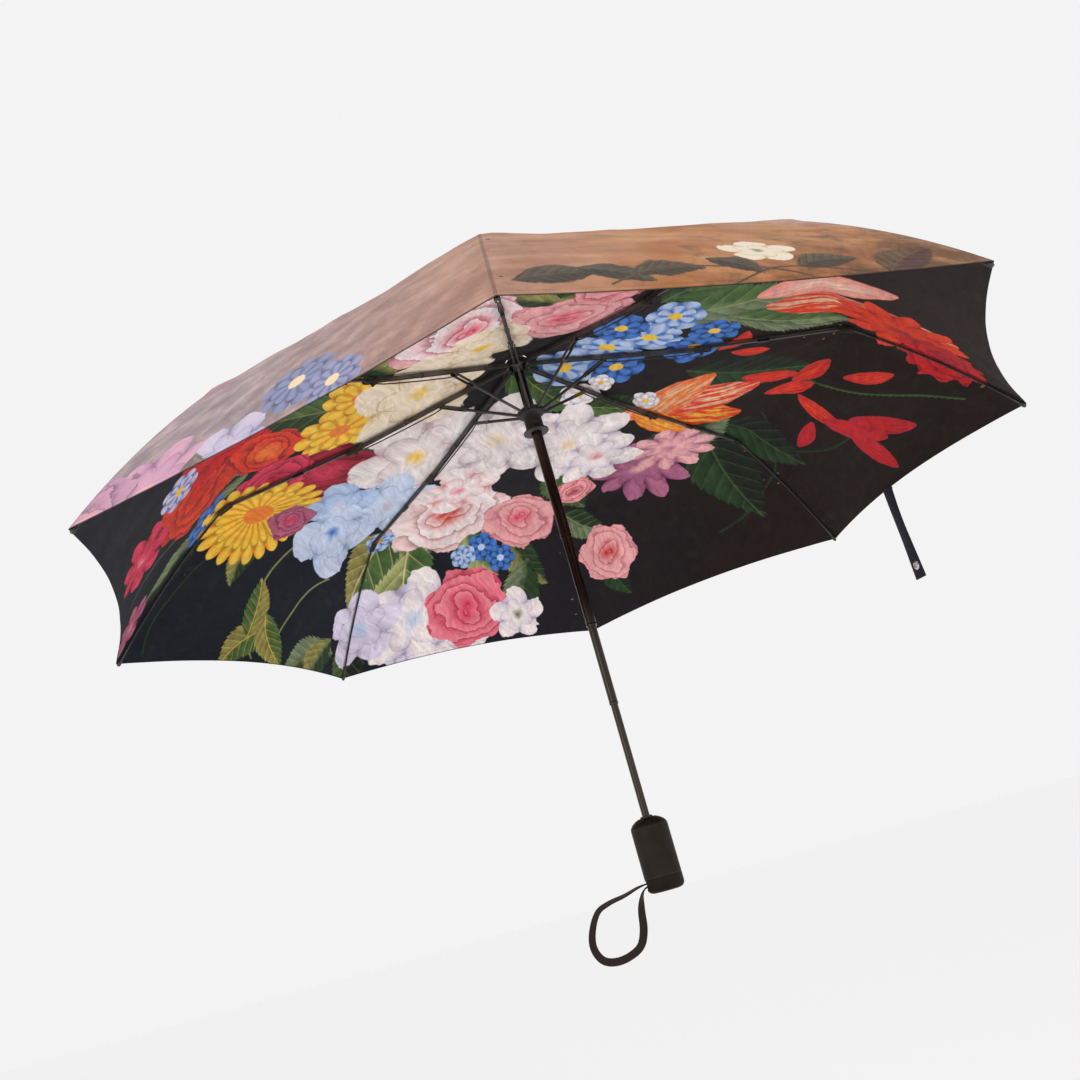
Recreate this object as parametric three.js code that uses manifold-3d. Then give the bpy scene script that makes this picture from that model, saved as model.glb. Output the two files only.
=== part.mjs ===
// Folding umbrella, open and extended. Millimetres, +Z along the shaft towards the crown.
// The origin is on the shaft axis at the middle of the grip.
import * as THREE from "three";
import { mergeVertices } from "three/addons/utils/BufferGeometryUtils.js";
import Module from "manifold-3d";

// overall sizes
const RIBS = 8;
const TIP_R = 490; // shaft axis to a rib tip
const CROWN_Z = 531; // rib pivots
const TIP_Z = CROWN_Z - 205;
const RUNNER_Z = CROWN_Z - 58.6; // stretcher pivots

// rib line: pivot points in the plane of a rib (radius, height)
const A = [9.5, CROWN_Z];
const E = [192.6, CROWN_Z - 39.4];
const G = [348.7, CROWN_Z - 67.5];
const TIP = [TIP_R, TIP_Z];
const STRETCH_AT = 83.8; // along the inner rib to the stretcher pivot
const STRETCH_DROP = 5.5; // pivot below the rib line
const RUNNER_PIVOT_R = 12;
const OUTER_START_DEG = 37; // droop of the outer rib at its pivot

// sections
const INNER_W = 3.6;
const INNER_H = 4.0;
const CHANNEL_WALL = 0.7;
const MIDDLE_W = 2.4;
const MIDDLE_H = 2.6;
const OUTER_D = 2.4;
const CHEEK_T = 0.9;
const FORK_LEN = 30;
const FORK_GAP = 0.4;
const STRETCH_D = 3.4;
const PIVOT_GAP = 0.4;

// shaft
const TUBE_GAP = 0.3;
const TUBE_WALL = 0.4;
const UPPER_R = 5.8;
const UPPER_BOTTOM = 326;
const SECOND_BOTTOM = 228;
const THIRD_BOTTOM = 146;
const OVERLAP = 25;
const LOWER_BOTTOM = -20;

// handle
const GRIP_R = 18;
const GRIP_BOTTOM = -20;
const GRIP_TOP = 25;
const HANDLE_BOTTOM = -34;
const HANDLE_TOP = 34;
const GAP = 0.3;
const BUTTON_R = 5;
const BUTTON_Z = 10;

// fabric
const CLOTH = 0.35;
const HEM_IN = 14; // hem runs this far inside the chord at mid panel
const PANEL_SAG = 5;

// closure strap
const STRAP_W = 17;
const STRAP_DROP = 7.2; // top edge of the strap below the hem
const STRAP_L = 112;
const STRAP_T = 1.0;
const STRAP_SHARE = 0.41; // along the hem from rib 4 towards rib 3

// wrist strap
const WEB_W = 8;
const WEB_T = 1.4;
const POCKET_H = 7.4; // recess in the end cap that the webbing comes out of
const POCKET_Z = -25.3;

const wasm = await Module();
wasm.setup();

const group = new THREE.Group();
group.name = "folding_umbrella";

const looks = {
  steel_black: [0x17171a, 0.42, 0.8],
  plastic_black: [0x151517, 0.5, 0.0],
  soft_black: [0x1c1918, 0.8, 0.0],
  shaft_black: [0x1a1612, 0.3, 0.85],
  fabric_print: [0x3a2c30, 0.85, 0.0],
  strap_dark: [0x1b1d26, 0.8, 0.0],
  webbing_dark: [0x2a211e, 0.85, 0.0],
  snap_metal: [0xb9bcc0, 0.3, 1.0],
};

// closed surface facing out, with shared corners and no empty triangles
function closed(geometry) {
  let g = geometry.clone();
  g.deleteAttribute("normal");
  g.deleteAttribute("uv");
  g = mergeVertices(g, 1e-4);
  const idx = g.index.array;
  const pos = g.attributes.position;
  const keep = [];
  let volume = 0;
  const a = new THREE.Vector3();
  const b = new THREE.Vector3();
  const c = new THREE.Vector3();
  for (let i = 0; i < idx.length; i += 3) {
    const [p, q, r] = [idx[i], idx[i + 1], idx[i + 2]];
    if (p === q || q === r || p === r) continue;
    keep.push(p, q, r);
    a.fromBufferAttribute(pos, p);
    b.fromBufferAttribute(pos, q);
    c.fromBufferAttribute(pos, r);
    volume += a.dot(b.cross(c));
  }
  if (volume < 0) for (let i = 0; i < keep.length; i += 3) keep.splice(i, 2, keep[i + 1], keep[i]);
  g.setIndex(keep);
  g.computeVertexNormals();
  return g;
}

function add(name, geometry, look) {
  const [color, roughness, metalness] = looks[look];
  const material = new THREE.MeshStandardMaterial({ color, roughness, metalness });
  material.name = look;
  const mesh = new THREE.Mesh(closed(geometry), material);
  mesh.name = name;
  group.add(mesh);
}

function toManifold(geometry) {
  const g = closed(geometry);
  return new wasm.Manifold(new wasm.Mesh({
    numProp: 3,
    vertProperties: Float32Array.from(g.attributes.position.array),
    triVerts: Uint32Array.from(g.index.array),
  }));
}

function cut(body, tools) {
  let m = toManifold(body);
  for (const t of tools) m = m.subtract(toManifold(t));
  const mesh = m.getMesh();
  const g = new THREE.BufferGeometry();
  g.setAttribute("position", new THREE.Float32BufferAttribute(mesh.vertProperties, 3));
  g.setIndex(Array.from(mesh.triVerts));
  return g;
}

// turned solid about Z; the profile is [radius, height] and closes on itself or on the axis
function turned(profile, segments = 32) {
  const pts = profile.map(([r, z]) => new THREE.Vector2(r, z));
  if (profile[0][0] > 0) pts.push(pts[0].clone());
  return new THREE.LatheGeometry(pts, segments).rotateX(Math.PI / 2);
}

const pipe = (r0, r1, z0, z1, segments = 28) =>
  turned([[r0, z0], [r1, z0], [r1, z1], [r0, z1]], segments);

// skin over equal rings of points, with flat ends
function loft(rings) {
  const n = rings[0].length;
  const pos = rings.flat().flatMap((p) => [p.x, p.y, p.z]);
  const idx = [];
  for (let k = 0; k + 1 < rings.length; k++) {
    for (let i = 0; i < n; i++) {
      const j = (i + 1) % n;
      const [a, b, c, d] = [k * n + i, k * n + j, (k + 1) * n + i, (k + 1) * n + j];
      idx.push(a, b, d, a, d, c);
    }
  }
  const last = (rings.length - 1) * n;
  for (let i = 1; i + 1 < n; i++) idx.push(0, i + 1, i, last, last + i, last + i + 1);
  const g = new THREE.BufferGeometry();
  g.setAttribute("position", new THREE.Float32BufferAttribute(pos, 3));
  g.setIndex(idx);
  return g;
}

// rib plane to space: x is the radius, y is across the rib, z is the height
const azimuth = (k) => ((k - 1) * 2 * Math.PI) / RIBS;
const turnTo = (g, k) => g.rotateZ(azimuth(k));
const along = (p, q, s) => [p[0] + (q[0] - p[0]) * s, p[1] + (q[1] - p[1]) * s];
const length = (p, q) => Math.hypot(q[0] - p[0], q[1] - p[1]);

// point at distance d from p towards q, raised by h square to the line
function offset(p, q, d, h) {
  const l = length(p, q);
  const [ux, uz] = [(q[0] - p[0]) / l, (q[1] - p[1]) / l];
  return [p[0] + ux * d - uz * h, p[1] + uz * d + ux * h];
}

// straight bar between two points of the rib plane, from a section drawn as [across, up]
function bar(p, q, section) {
  const shape = new THREE.Shape(section.map(([y, z]) => new THREE.Vector2(y, z)));
  const g = new THREE.ExtrudeGeometry(shape, { depth: length(p, q), bevelEnabled: false });
  // local x is across, y is up, z is along
  const dir = new THREE.Vector3(q[0] - p[0], 0, q[1] - p[1]).normalize();
  const across = new THREE.Vector3(0, 1, 0);
  const up = new THREE.Vector3().crossVectors(dir, across);
  const m = new THREE.Matrix4().makeBasis(across, up, dir).setPosition(p[0], 0, p[1]);
  return g.applyMatrix4(m);
}

const rect = (w, h, y = 0, z = 0) =>
  [[y - w / 2, z - h / 2], [y + w / 2, z - h / 2], [y + w / 2, z + h / 2], [y - w / 2, z + h / 2]];
const round = (d, n = 8) =>
  Array.from({ length: n }, (_, i) => {
    const t = ((i + 0.5) * 2 * Math.PI) / n;
    return [(Math.cos(t) * d) / 2, (Math.sin(t) * d) / 2];
  });
const channel = (w, h, t) => [
  [-w / 2, -h / 2], [-w / 2 + t, -h / 2], [-w / 2 + t, h / 2 - t], [w / 2 - t, h / 2 - t],
  [w / 2 - t, -h / 2], [w / 2, -h / 2], [w / 2, h / 2], [-w / 2, h / 2],
];

// ---- shaft: four tubes, the widest at the top ----
const secondR = UPPER_R - TUBE_WALL - TUBE_GAP;
const thirdR = secondR - TUBE_WALL - TUBE_GAP;
const lowerR = thirdR - TUBE_WALL - TUBE_GAP;
add("upper_tube", pipe(UPPER_R - TUBE_WALL, UPPER_R, UPPER_BOTTOM, CROWN_Z - 4), "shaft_black");
add("second_tube", pipe(secondR - TUBE_WALL, secondR, SECOND_BOTTOM, UPPER_BOTTOM + OVERLAP),
  "shaft_black");
add("third_tube", pipe(thirdR - TUBE_WALL, thirdR, THIRD_BOTTOM, SECOND_BOTTOM + OVERLAP),
  "shaft_black");
add("lower_tube", pipe(lowerR - TUBE_WALL, lowerR, LOWER_BOTTOM, THIRD_BOTTOM + OVERLAP),
  "shaft_black");

// ---- handle ----
const bore = lowerR + GAP;
const buttonPocket = new THREE.CylinderGeometry(BUTTON_R + GAP, BUTTON_R + GAP, 12, 32)
  .rotateZ(Math.PI / 2).translate(-GRIP_R + 1.5, 0, BUTTON_Z);
add("grip", cut(
  turned([[bore, GRIP_BOTTOM], [GRIP_R, GRIP_BOTTOM], [GRIP_R, GRIP_TOP], [bore, GRIP_TOP]], 40),
  [buttonPocket]), "soft_black");
add("push_button", turned([
  [0, 0], [BUTTON_R, 0], [BUTTON_R, 5.4], [BUTTON_R - 0.8, 6.2], [0, 6.6],
], 28).rotateY(-Math.PI / 2).translate(-GRIP_R + 5, 0, BUTTON_Z), "plastic_black");
const collarZ = GRIP_TOP + GAP;
add("grip_collar", turned([
  [bore, collarZ], [GRIP_R, collarZ], [GRIP_R - 0.6, collarZ + 2.2], [GRIP_R - 2.6, collarZ + 4.8],
  [GRIP_R - 6.2, HANDLE_TOP - 1.4], [GRIP_R - 9.4, HANDLE_TOP], [bore, HANDLE_TOP],
], 40), "plastic_black");
const capZ = GRIP_BOTTOM - GAP;
const strapPocket = new THREE.BoxGeometry(WEB_W + 2.4, 12, POCKET_H)
  .translate(0, -GRIP_R, POCKET_Z);
add("end_cap", cut(turned([
  [0, HANDLE_BOTTOM], [GRIP_R - 5, HANDLE_BOTTOM], [GRIP_R - 2.2, HANDLE_BOTTOM + 1],
  [GRIP_R - 0.5, HANDLE_BOTTOM + 3], [GRIP_R, HANDLE_BOTTOM + 5.2], [GRIP_R, capZ], [0, capZ],
], 40), [strapPocket]), "soft_black");

// ---- crown and top cap ----
const slotTools = (inner, zLow, zHigh, width) =>
  Array.from({ length: RIBS }, (_, i) => {
    const slot = new THREE.BoxGeometry(14, width, zHigh - zLow);
    return turnTo(slot.translate(inner + 7, 0, (zHigh + zLow) / 2), i + 1);
  });
const crownBore = UPPER_R + GAP;
add("crown", cut(turned([
  [0, CROWN_Z + 4.2], [13, CROWN_Z + 4.2], [13.4, CROWN_Z + 3.4], [13.4, CROWN_Z - 2.6],
  [11, CROWN_Z - 3.4], [8.2, CROWN_Z - 9], [crownBore, CROWN_Z - 9], [crownBore, CROWN_Z - 2],
  [0, CROWN_Z - 2],
], 40), slotTools(A[0] - 2.4, CROWN_Z - 12, CROWN_Z + 2.7, INNER_W + 0.8)), "plastic_black");
add("top_cap", turned([
  [0, CROWN_Z + 4.6], [3, CROWN_Z + 4.6], [3, CROWN_Z + 6.4], [10, CROWN_Z + 6.4],
  [10, CROWN_Z + 7.6], [8, CROWN_Z + 9.6], [4.6, CROWN_Z + 10.6], [4.2, CROWN_Z + 14],
  [2.6, CROWN_Z + 15.4], [0, CROWN_Z + 15.8],
], 32), "plastic_black");

// ---- runner ----
const runnerBottom = RUNNER_Z - 24;
add("runner", cut(turned([
  [crownBore, RUNNER_Z + 3.2], [13.6, RUNNER_Z + 3.2], [14.6, RUNNER_Z + 2.2],
  [14.6, RUNNER_Z - 2.4], [13.4, RUNNER_Z - 3.6], [9.4, RUNNER_Z - 6], [8.8, RUNNER_Z - 9],
  [9.2, RUNNER_Z - 16], [10.6, RUNNER_Z - 20], [13.8, runnerBottom + 1.6],
  [13.8, runnerBottom], [crownBore, runnerBottom],
], 40), slotTools(RUNNER_PIVOT_R - 3, RUNNER_Z - 1.9, RUNNER_Z + 6, STRETCH_D + 0.8)),
"plastic_black");

// ---- ribs and stretchers ----
const innerLen = length(A, E);
const pivotC = offset(A, E, STRETCH_AT, -STRETCH_DROP);
const pivotB = [RUNNER_PIVOT_R, RUNNER_Z];
const stretchLen = length(pivotB, pivotC);
const innerStart = offset(A, E, PIVOT_GAP, 0);
const innerEnd = offset(A, E, innerLen - PIVOT_GAP, -INNER_H / 2 - PIVOT_GAP);
const middleLen = length(E, G);
const middleStart = offset(E, G, PIVOT_GAP, -MIDDLE_H / 2 - PIVOT_GAP);
const middleEnd = offset(E, G, middleLen - PIVOT_GAP, MIDDLE_H / 2 + PIVOT_GAP);
const cheekY = INNER_W / 2 + FORK_GAP + CHEEK_T / 2;
const forkStart = stretchLen - FORK_LEN + 6;

// outer rib: a curve from the pivot to the tip, standing just above the pivot
const droop = THREE.MathUtils.degToRad(OUTER_START_DEG);
const chord = Math.atan2(G[1] - TIP[1], TIP[0] - G[0]);
const reach = length(G, TIP) / 2 / Math.cos(chord - droop);
const BEND = [G[0] + reach * Math.cos(droop), G[1] - reach * Math.sin(droop)];
function outerPoint(t) {
  const p = along(along(G, BEND, t), along(BEND, TIP, t), t);
  const q = [along(G, BEND, t), along(BEND, TIP, t)];
  return { at: p, dir: Math.atan2(q[1][1] - q[0][1], q[1][0] - q[0][0]) };
}
function outerRing(t, lift, d) {
  const { at, dir } = outerPoint(t);
  return round(d).map(([y, u]) => new THREE.Vector3(
    at[0] - Math.sin(dir) * (u + lift), y, at[1] + Math.cos(dir) * (u + lift)));
}
const OUTER_STEPS = 14;
const OUTER_LIFT = OUTER_D / 2 + PIVOT_GAP;
const outerRings = [];
for (let i = 0; i <= OUTER_STEPS; i++) {
  const t = 0.004 + (0.965 * i) / OUTER_STEPS;
  outerRings.push(outerRing(t, OUTER_LIFT * (1 - t), OUTER_D));
}
const tipRings = [[0.971, 3.6], [0.988, 4.4], [1.0, 4.0], [1.006, 2.4]]
  .map(([t, d]) => outerRing(t, OUTER_LIFT * (1 - t), d));

for (let k = 1; k <= RIBS; k++) {
  add(`inner_rib_${k}`,
    turnTo(bar(innerStart, innerEnd, channel(INNER_W, INNER_H, CHANNEL_WALL)), k), "steel_black");
  add(`middle_rib_${k}`,
    turnTo(bar(middleStart, middleEnd, rect(MIDDLE_W, MIDDLE_H)), k), "steel_black");
  add(`outer_rib_${k}`, turnTo(loft(outerRings), k), "steel_black");
  add(`rib_tip_${k}`, turnTo(loft(tipRings), k), "plastic_black");
  const rod = bar(offset(pivotB, pivotC, -1.2, 0), offset(pivotB, pivotC, forkStart + 1.2, 0),
    round(STRETCH_D));
  const web = bar(offset(pivotB, pivotC, forkStart - 1.6, 0),
    offset(pivotB, pivotC, forkStart + 1.6, 0), rect(2 * cheekY + CHEEK_T, 2.9));
  const cheeks = [-cheekY, cheekY].map((y) => bar(offset(pivotB, pivotC, forkStart, 0),
    offset(pivotB, pivotC, stretchLen + 5, 0), rect(CHEEK_T, 2.9, y)));
  let m = toManifold(rod);
  for (const piece of [web, ...cheeks]) m = m.add(toManifold(piece));
  const mesh = m.getMesh();
  const g = new THREE.BufferGeometry();
  g.setAttribute("position", new THREE.Float32BufferAttribute(mesh.vertProperties, 3));
  g.setIndex(Array.from(mesh.triVerts));
  add(`stretcher_${k}`, turnTo(g, k), "steel_black");
}

// ---- fabric: a thin skin over the ribs, taut and slightly hollow between them ----
const seam = [
  [6.4, CROWN_Z + 5.1], [13.8, CROWN_Z + 5], [24, CROWN_Z + 0.9], [60, CROWN_Z - 7.8],
  [110, CROWN_Z - 19.2], [150, CROWN_Z - 28.1],
  [192.6, CROWN_Z - 37.3], [240, CROWN_Z - 44.9],
  [295, CROWN_Z - 54], [348.7, CROWN_Z - 63.6],
];
for (let i = 1; i <= 8; i++) {
  const { at, dir } = outerPoint(i / 8);
  const lift = 3.9 - (0.9 * i) / 8;
  seam.push([at[0] - Math.sin(dir) * lift, at[1] + Math.cos(dir) * lift]);
}
const PANEL_STEPS = 6;
function clothPoint(i, k, w) {
  const [r, z] = seam[i];
  const share = Math.max(0, (r - 30) / (TIP_R - 30));
  const hollow = 4 * w * (1 - w);
  const a = azimuth(k);
  const b = azimuth(k + 1);
  const hem = i === seam.length - 1 ? HEM_IN : 0;
  const near = i === seam.length - 2 ? HEM_IN * 0.72 : 0;
  const s = 1 - (hollow * (hem + near + PANEL_SAG * share)) / TIP_R;
  const x = (Math.cos(a) * (1 - w) + Math.cos(b) * w) * r * s;
  const y = (Math.sin(a) * (1 - w) + Math.sin(b) * w) * r * s;
  const rise = hollow * (hem * 0.5 + near * 0.5 - PANEL_SAG * 0.5 * share * (1 - share));
  return new THREE.Vector3(x, y, z + rise);
}
function clothGeometry() {
  const cols = RIBS * PANEL_STEPS;
  const rows = seam.length;
  const grid = [];
  for (let i = 0; i < rows; i++) {
    for (let c = 0; c < cols; c++) {
      grid.push(clothPoint(i, Math.floor(c / PANEL_STEPS) + 1, (c % PANEL_STEPS) / PANEL_STEPS));
    }
  }
  const at = (i, c) => i * cols + (c % cols);
  const tris = [];
  for (let i = 0; i + 1 < rows; i++) {
    for (let c = 0; c < cols; c++) {
      tris.push(at(i, c), at(i + 1, c), at(i + 1, c + 1), at(i, c), at(i + 1, c + 1), at(i, c + 1));
    }
  }
  const under = new THREE.BufferGeometry();
  under.setAttribute("position",
    new THREE.Float32BufferAttribute(grid.flatMap((p) => [p.x, p.y, p.z]), 3));
  under.setIndex(tris);
  under.computeVertexNormals();
  const nrm = under.attributes.normal;
  const sign = nrm.getZ(0) > 0 ? 1 : -1;
  const top = grid.map((p, i) => p.clone().addScaledVector(
    new THREE.Vector3().fromBufferAttribute(nrm, i), sign * CLOTH));
  const n = grid.length;
  const all = [...tris];
  for (let i = 0; i < tris.length; i += 3) all.push(n + tris[i], n + tris[i + 2], n + tris[i + 1]);
  for (const [row, flip] of [[0, false], [rows - 1, true]]) {
    for (let c = 0; c < cols; c++) {
      const [a, b] = [at(row, c), at(row, c + 1)];
      if (flip) all.push(a, n + a, n + b, a, n + b, b);
      else all.push(a, n + b, n + a, a, b, n + b);
    }
  }
  const g = new THREE.BufferGeometry();
  g.setAttribute("position",
    new THREE.Float32BufferAttribute([...grid, ...top].flatMap((p) => [p.x, p.y, p.z]), 3));
  g.setIndex(all);
  return g;
}
add("canopy", clothGeometry(), "fabric_print");

// ---- closure strap, hanging from the hem between ribs 4 and 3 ----
const strapTop = clothPoint(seam.length - 1, 3, 1 - STRAP_SHARE);
const hemA = azimuth(3);
const hemB = azimuth(4);
const hemDir = new THREE.Vector3(
  Math.cos(hemA) - Math.cos(hemB), Math.sin(hemA) - Math.sin(hemB), 0).normalize();
const hemIn = new THREE.Vector3(-hemDir.y, hemDir.x, 0);
if (hemIn.dot(strapTop) > 0) hemIn.negate();
const strapFrame = new THREE.Matrix4()
  .makeBasis(hemDir, hemIn, new THREE.Vector3().crossVectors(hemDir, hemIn));
const down = strapFrame.elements[10] > 0 ? -1 : 1;
const place = (g, inward, z) => g.applyMatrix4(strapFrame)
  .translate(strapTop.x + hemIn.x * inward, strapTop.y + hemIn.y * inward, strapTop.z + z);
add("strap_anchor", place(new THREE.BoxGeometry(STRAP_W + 1, 1, 4.4), 2.2, -1.4), "strap_dark");
const strapShape = new THREE.Shape([
  [-STRAP_W / 2, 0], [STRAP_W / 2, 0], [STRAP_W / 2, -STRAP_L + 6], [-STRAP_W / 2, -STRAP_L],
].map(([x, y]) => new THREE.Vector2(x, y)));
const strapBody = new THREE.ExtrudeGeometry(strapShape, { depth: STRAP_T, bevelEnabled: false })
  .rotateX(Math.PI / 2 * (down < 0 ? 1 : -1));
add("closure_strap", place(strapBody, 2.2, -STRAP_DROP), "strap_dark");
const snap = turned([[0, 0], [5.4, 0], [5.4, 0.6], [3.4, 1.4], [2.6, 1.2], [0, 1.2]], 24)
  .rotateX(-Math.PI / 2);
add("snap_stud", place(snap, 2.2 + STRAP_T + 0.35, -STRAP_DROP - STRAP_L + 19), "snap_metal");

// ---- wrist strap: a loop of webbing from the end cap ----
// [y, z, twist of the webbing out of flat]
const loopPlan = [
  [-14.2, -24.0, 0], [-19, -24.0, 0], [-27, -25.2, 0.15], [-40.5, -28.8, 0.3],
  [-56, -31.5, 0.45], [-68.2, -36.6, 0.6], [-77, -50.1, 0.85], [-80.5, -64.7, 1.05],
  [-76, -77.0, 1.15], [-65.8, -82.2, 1.15], [-51.7, -81.5, 1.1], [-38, -75.2, 1.1],
  [-31.2, -62.2, 1.15], [-28.2, -45, 0.9], [-24.2, -33, 0.25], [-19.6, -27.6, 0],
  [-14.2, -26.6, 0],
];
const loopPath = new THREE.CatmullRomCurve3(
  loopPlan.map(([y, z]) => new THREE.Vector3(0, y, z)), false, "centripetal");
const LOOP_STEPS = 64;
const loopRings = [];
for (let i = 0; i <= LOOP_STEPS; i++) {
  const s = i / LOOP_STEPS;
  const at = loopPath.getPoint(s);
  const t = loopPath.getTangent(s);
  const span = s * (loopPlan.length - 1);
  const j = Math.min(Math.floor(span), loopPlan.length - 2);
  const twist = loopPlan[j][2] + (loopPlan[j + 1][2] - loopPlan[j][2]) * (span - j);
  const side = new THREE.Vector3(0, -t.z, t.y);
  const across = new THREE.Vector3(Math.cos(twist), 0, 0).addScaledVector(side, Math.sin(twist));
  const up = new THREE.Vector3().crossVectors(across, t).normalize();
  loopRings.push([[-1, -1], [1, -1], [1, 1], [-1, 1]].map(([w, h]) => at.clone()
    .addScaledVector(across, (w * WEB_W) / 2)
    .addScaledVector(up, (h * WEB_T) / 2)));
}
add("wrist_strap", loft(loopRings), "webbing_dark");

export default group;
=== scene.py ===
"""Folding umbrella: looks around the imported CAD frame.

The scene is in metres, +Z along the shaft, with the origin on the shaft axis in the middle of
the grip. Ribs, cloth and turned pieces are worked out in millimetres and multiplied by MM.
"""
import math

import bmesh
import bpy
import numpy as np
from mathutils import Matrix, Vector, noise


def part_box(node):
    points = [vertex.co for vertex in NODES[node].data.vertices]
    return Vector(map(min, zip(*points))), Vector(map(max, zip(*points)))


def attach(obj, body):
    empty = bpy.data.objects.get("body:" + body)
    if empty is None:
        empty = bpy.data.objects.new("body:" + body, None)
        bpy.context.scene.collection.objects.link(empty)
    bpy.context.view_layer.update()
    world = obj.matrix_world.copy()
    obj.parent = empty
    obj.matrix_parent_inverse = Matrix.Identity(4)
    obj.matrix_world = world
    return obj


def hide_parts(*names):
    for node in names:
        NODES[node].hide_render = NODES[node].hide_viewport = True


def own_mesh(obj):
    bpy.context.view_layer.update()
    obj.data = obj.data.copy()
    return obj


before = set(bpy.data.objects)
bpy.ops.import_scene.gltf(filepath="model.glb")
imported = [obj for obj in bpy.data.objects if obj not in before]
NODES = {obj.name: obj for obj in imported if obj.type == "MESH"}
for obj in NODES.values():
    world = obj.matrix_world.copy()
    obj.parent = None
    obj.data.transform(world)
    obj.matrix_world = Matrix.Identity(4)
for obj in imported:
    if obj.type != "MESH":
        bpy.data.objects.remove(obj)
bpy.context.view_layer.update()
scene = bpy.context.scene

# ------------------------------ camera, stage, light
cam = bpy.data.objects.new("camera", bpy.data.cameras.new("camera"))
scene.collection.objects.link(cam)
cam.data.lens = 34.83
cam.data.sensor_width = 36
cam.data.clip_end = 50
forward = Vector((-0.953, -0.0262, 0.3018)).normalized()
up = Vector((0.2791, 0.2750, 0.9200))
right = forward.cross(up).normalized()
up = right.cross(forward)
turn = Matrix((right, up, -forward)).transposed().to_4x4()
cam.matrix_world = Matrix.Translation((1.0376, 0.0013, 0.0023)) @ turn
scene.camera = cam


def area_light(name, at, to, size, power, color=(1, 1, 1)):
    data = bpy.data.lights.new(name, "AREA")
    data.shape = "RECTANGLE"
    data.size, data.size_y = size
    data.energy = power
    data.color = color
    ob = bpy.data.objects.new(name, data)
    ob.location = at
    ob.rotation_euler = (Vector(to) - Vector(at)).to_track_quat("-Z", "Y").to_euler()
    scene.collection.objects.link(ob)


area_light("key", (1.6, -1.2, 0.2), (0, 0, 0.45), (1.2, 1.2), 9, (1.0, 0.97, 0.93))
area_light("fill", (1.5, 1.6, -0.4), (0, 0, 0.4), (0.8, 1.6), 10, (1.0, 0.80, 0.55))
area_light("top", (0.8, -0.2, 2.2), (0.1, 0, 0.5), (1.6, 1.6), 5)

scene.view_settings.view_transform = "Standard"
world = bpy.data.worlds.new("studio")
scene.world = world
world.use_nodes = True
background = world.node_tree.nodes["Background"]
background.inputs["Color"].default_value = (1, 1, 1, 1)
background.inputs["Strength"].default_value = 0.9

# ------------------------------ shader arithmetic
class Sock:
    """An output socket that can be added, multiplied and so on."""

    def __init__(self, sock):
        self.tree, self.sock = sock.id_data, sock

    def op(self, name, *others):
        return math_node(name, self, *others)

    def __add__(self, o):
        return self.op("ADD", o)

    __radd__ = __add__

    def __sub__(self, o):
        return self.op("SUBTRACT", o)

    def __rsub__(self, o):
        return math_node("SUBTRACT", o, self)

    def __mul__(self, o):
        return self.op("MULTIPLY", o)

    def __truediv__(self, o):
        return self.op("DIVIDE", o)

    def abs(self):
        return self.op("ABSOLUTE")

    def sin(self):
        return self.op("SINE")

    def fract(self):
        return self.op("FRACT")

    def pow(self, n):
        return self.op("POWER", n)

    def max(self, o):
        return self.op("MAXIMUM", o)

    def clamp(self):
        n = self.tree.nodes.new("ShaderNodeClamp")
        plug(n.inputs[0], self)
        return Sock(n.outputs[0])


def tree_of(*values):
    return next(v.tree for v in values if isinstance(v, Sock))


def plug(socket, value):
    if isinstance(value, Sock):
        value.tree.links.new(value.sock, socket)
    else:
        socket.default_value = value


def math_node(name, *args):
    n = tree_of(*args).nodes.new("ShaderNodeMath")
    n.operation = name
    for socket, a in zip(n.inputs, args):
        plug(socket, a)
    return Sock(n.outputs[0])


def mix(factor, a, b):
    """Colour a where factor is 0, b where it is 1."""
    n = tree_of(factor, a, b).nodes.new("ShaderNodeMix")
    n.data_type = "RGBA"
    plug(n.inputs["Factor"], factor)
    for socket, v in ((n.inputs[6], a), (n.inputs[7], b)):
        plug(socket, v if isinstance(v, Sock) else (*v, 1))
    return Sock(n.outputs[2])


def scaled(colour, factor):
    n = colour.tree.nodes.new("ShaderNodeVectorMath")
    n.operation = "SCALE"
    plug(n.inputs[0], colour)
    plug(n.inputs["Scale"], factor)
    return Sock(n.outputs[0])


def combine(x, y, z=0.0):
    n = x.tree.nodes.new("ShaderNodeCombineXYZ")
    for socket, v in zip(n.inputs, (x, y, z)):
        plug(socket, v)
    return Sock(n.outputs[0])


def noise_at(place, scale, detail=2.0, rough=0.5):
    n = place.tree.nodes.new("ShaderNodeTexNoise")
    for name, v in zip(("Scale", "Detail", "Roughness", "Vector"), (scale, detail, rough, place)):
        plug(n.inputs[name], v)
    return Sock(n.outputs["Fac"])


def split_uv(tree, layer):
    n = tree.nodes.new("ShaderNodeUVMap")
    n.uv_map = layer
    s = tree.nodes.new("ShaderNodeSeparateXYZ")
    tree.links.new(n.outputs[0], s.inputs[0])
    return Sock(s.outputs[0]), Sock(s.outputs[1])


# ------------------------------ flowers of the print
FLOATS = ["U", "V", "CX", "CY", "Size", "Turn", "Seed", "Count"]
TINTS = ["Light", "Shade", "Heart"]
TRACE = 1e-6  # share of the colour beneath, so that Cycles works the motifs out one at a time


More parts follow.
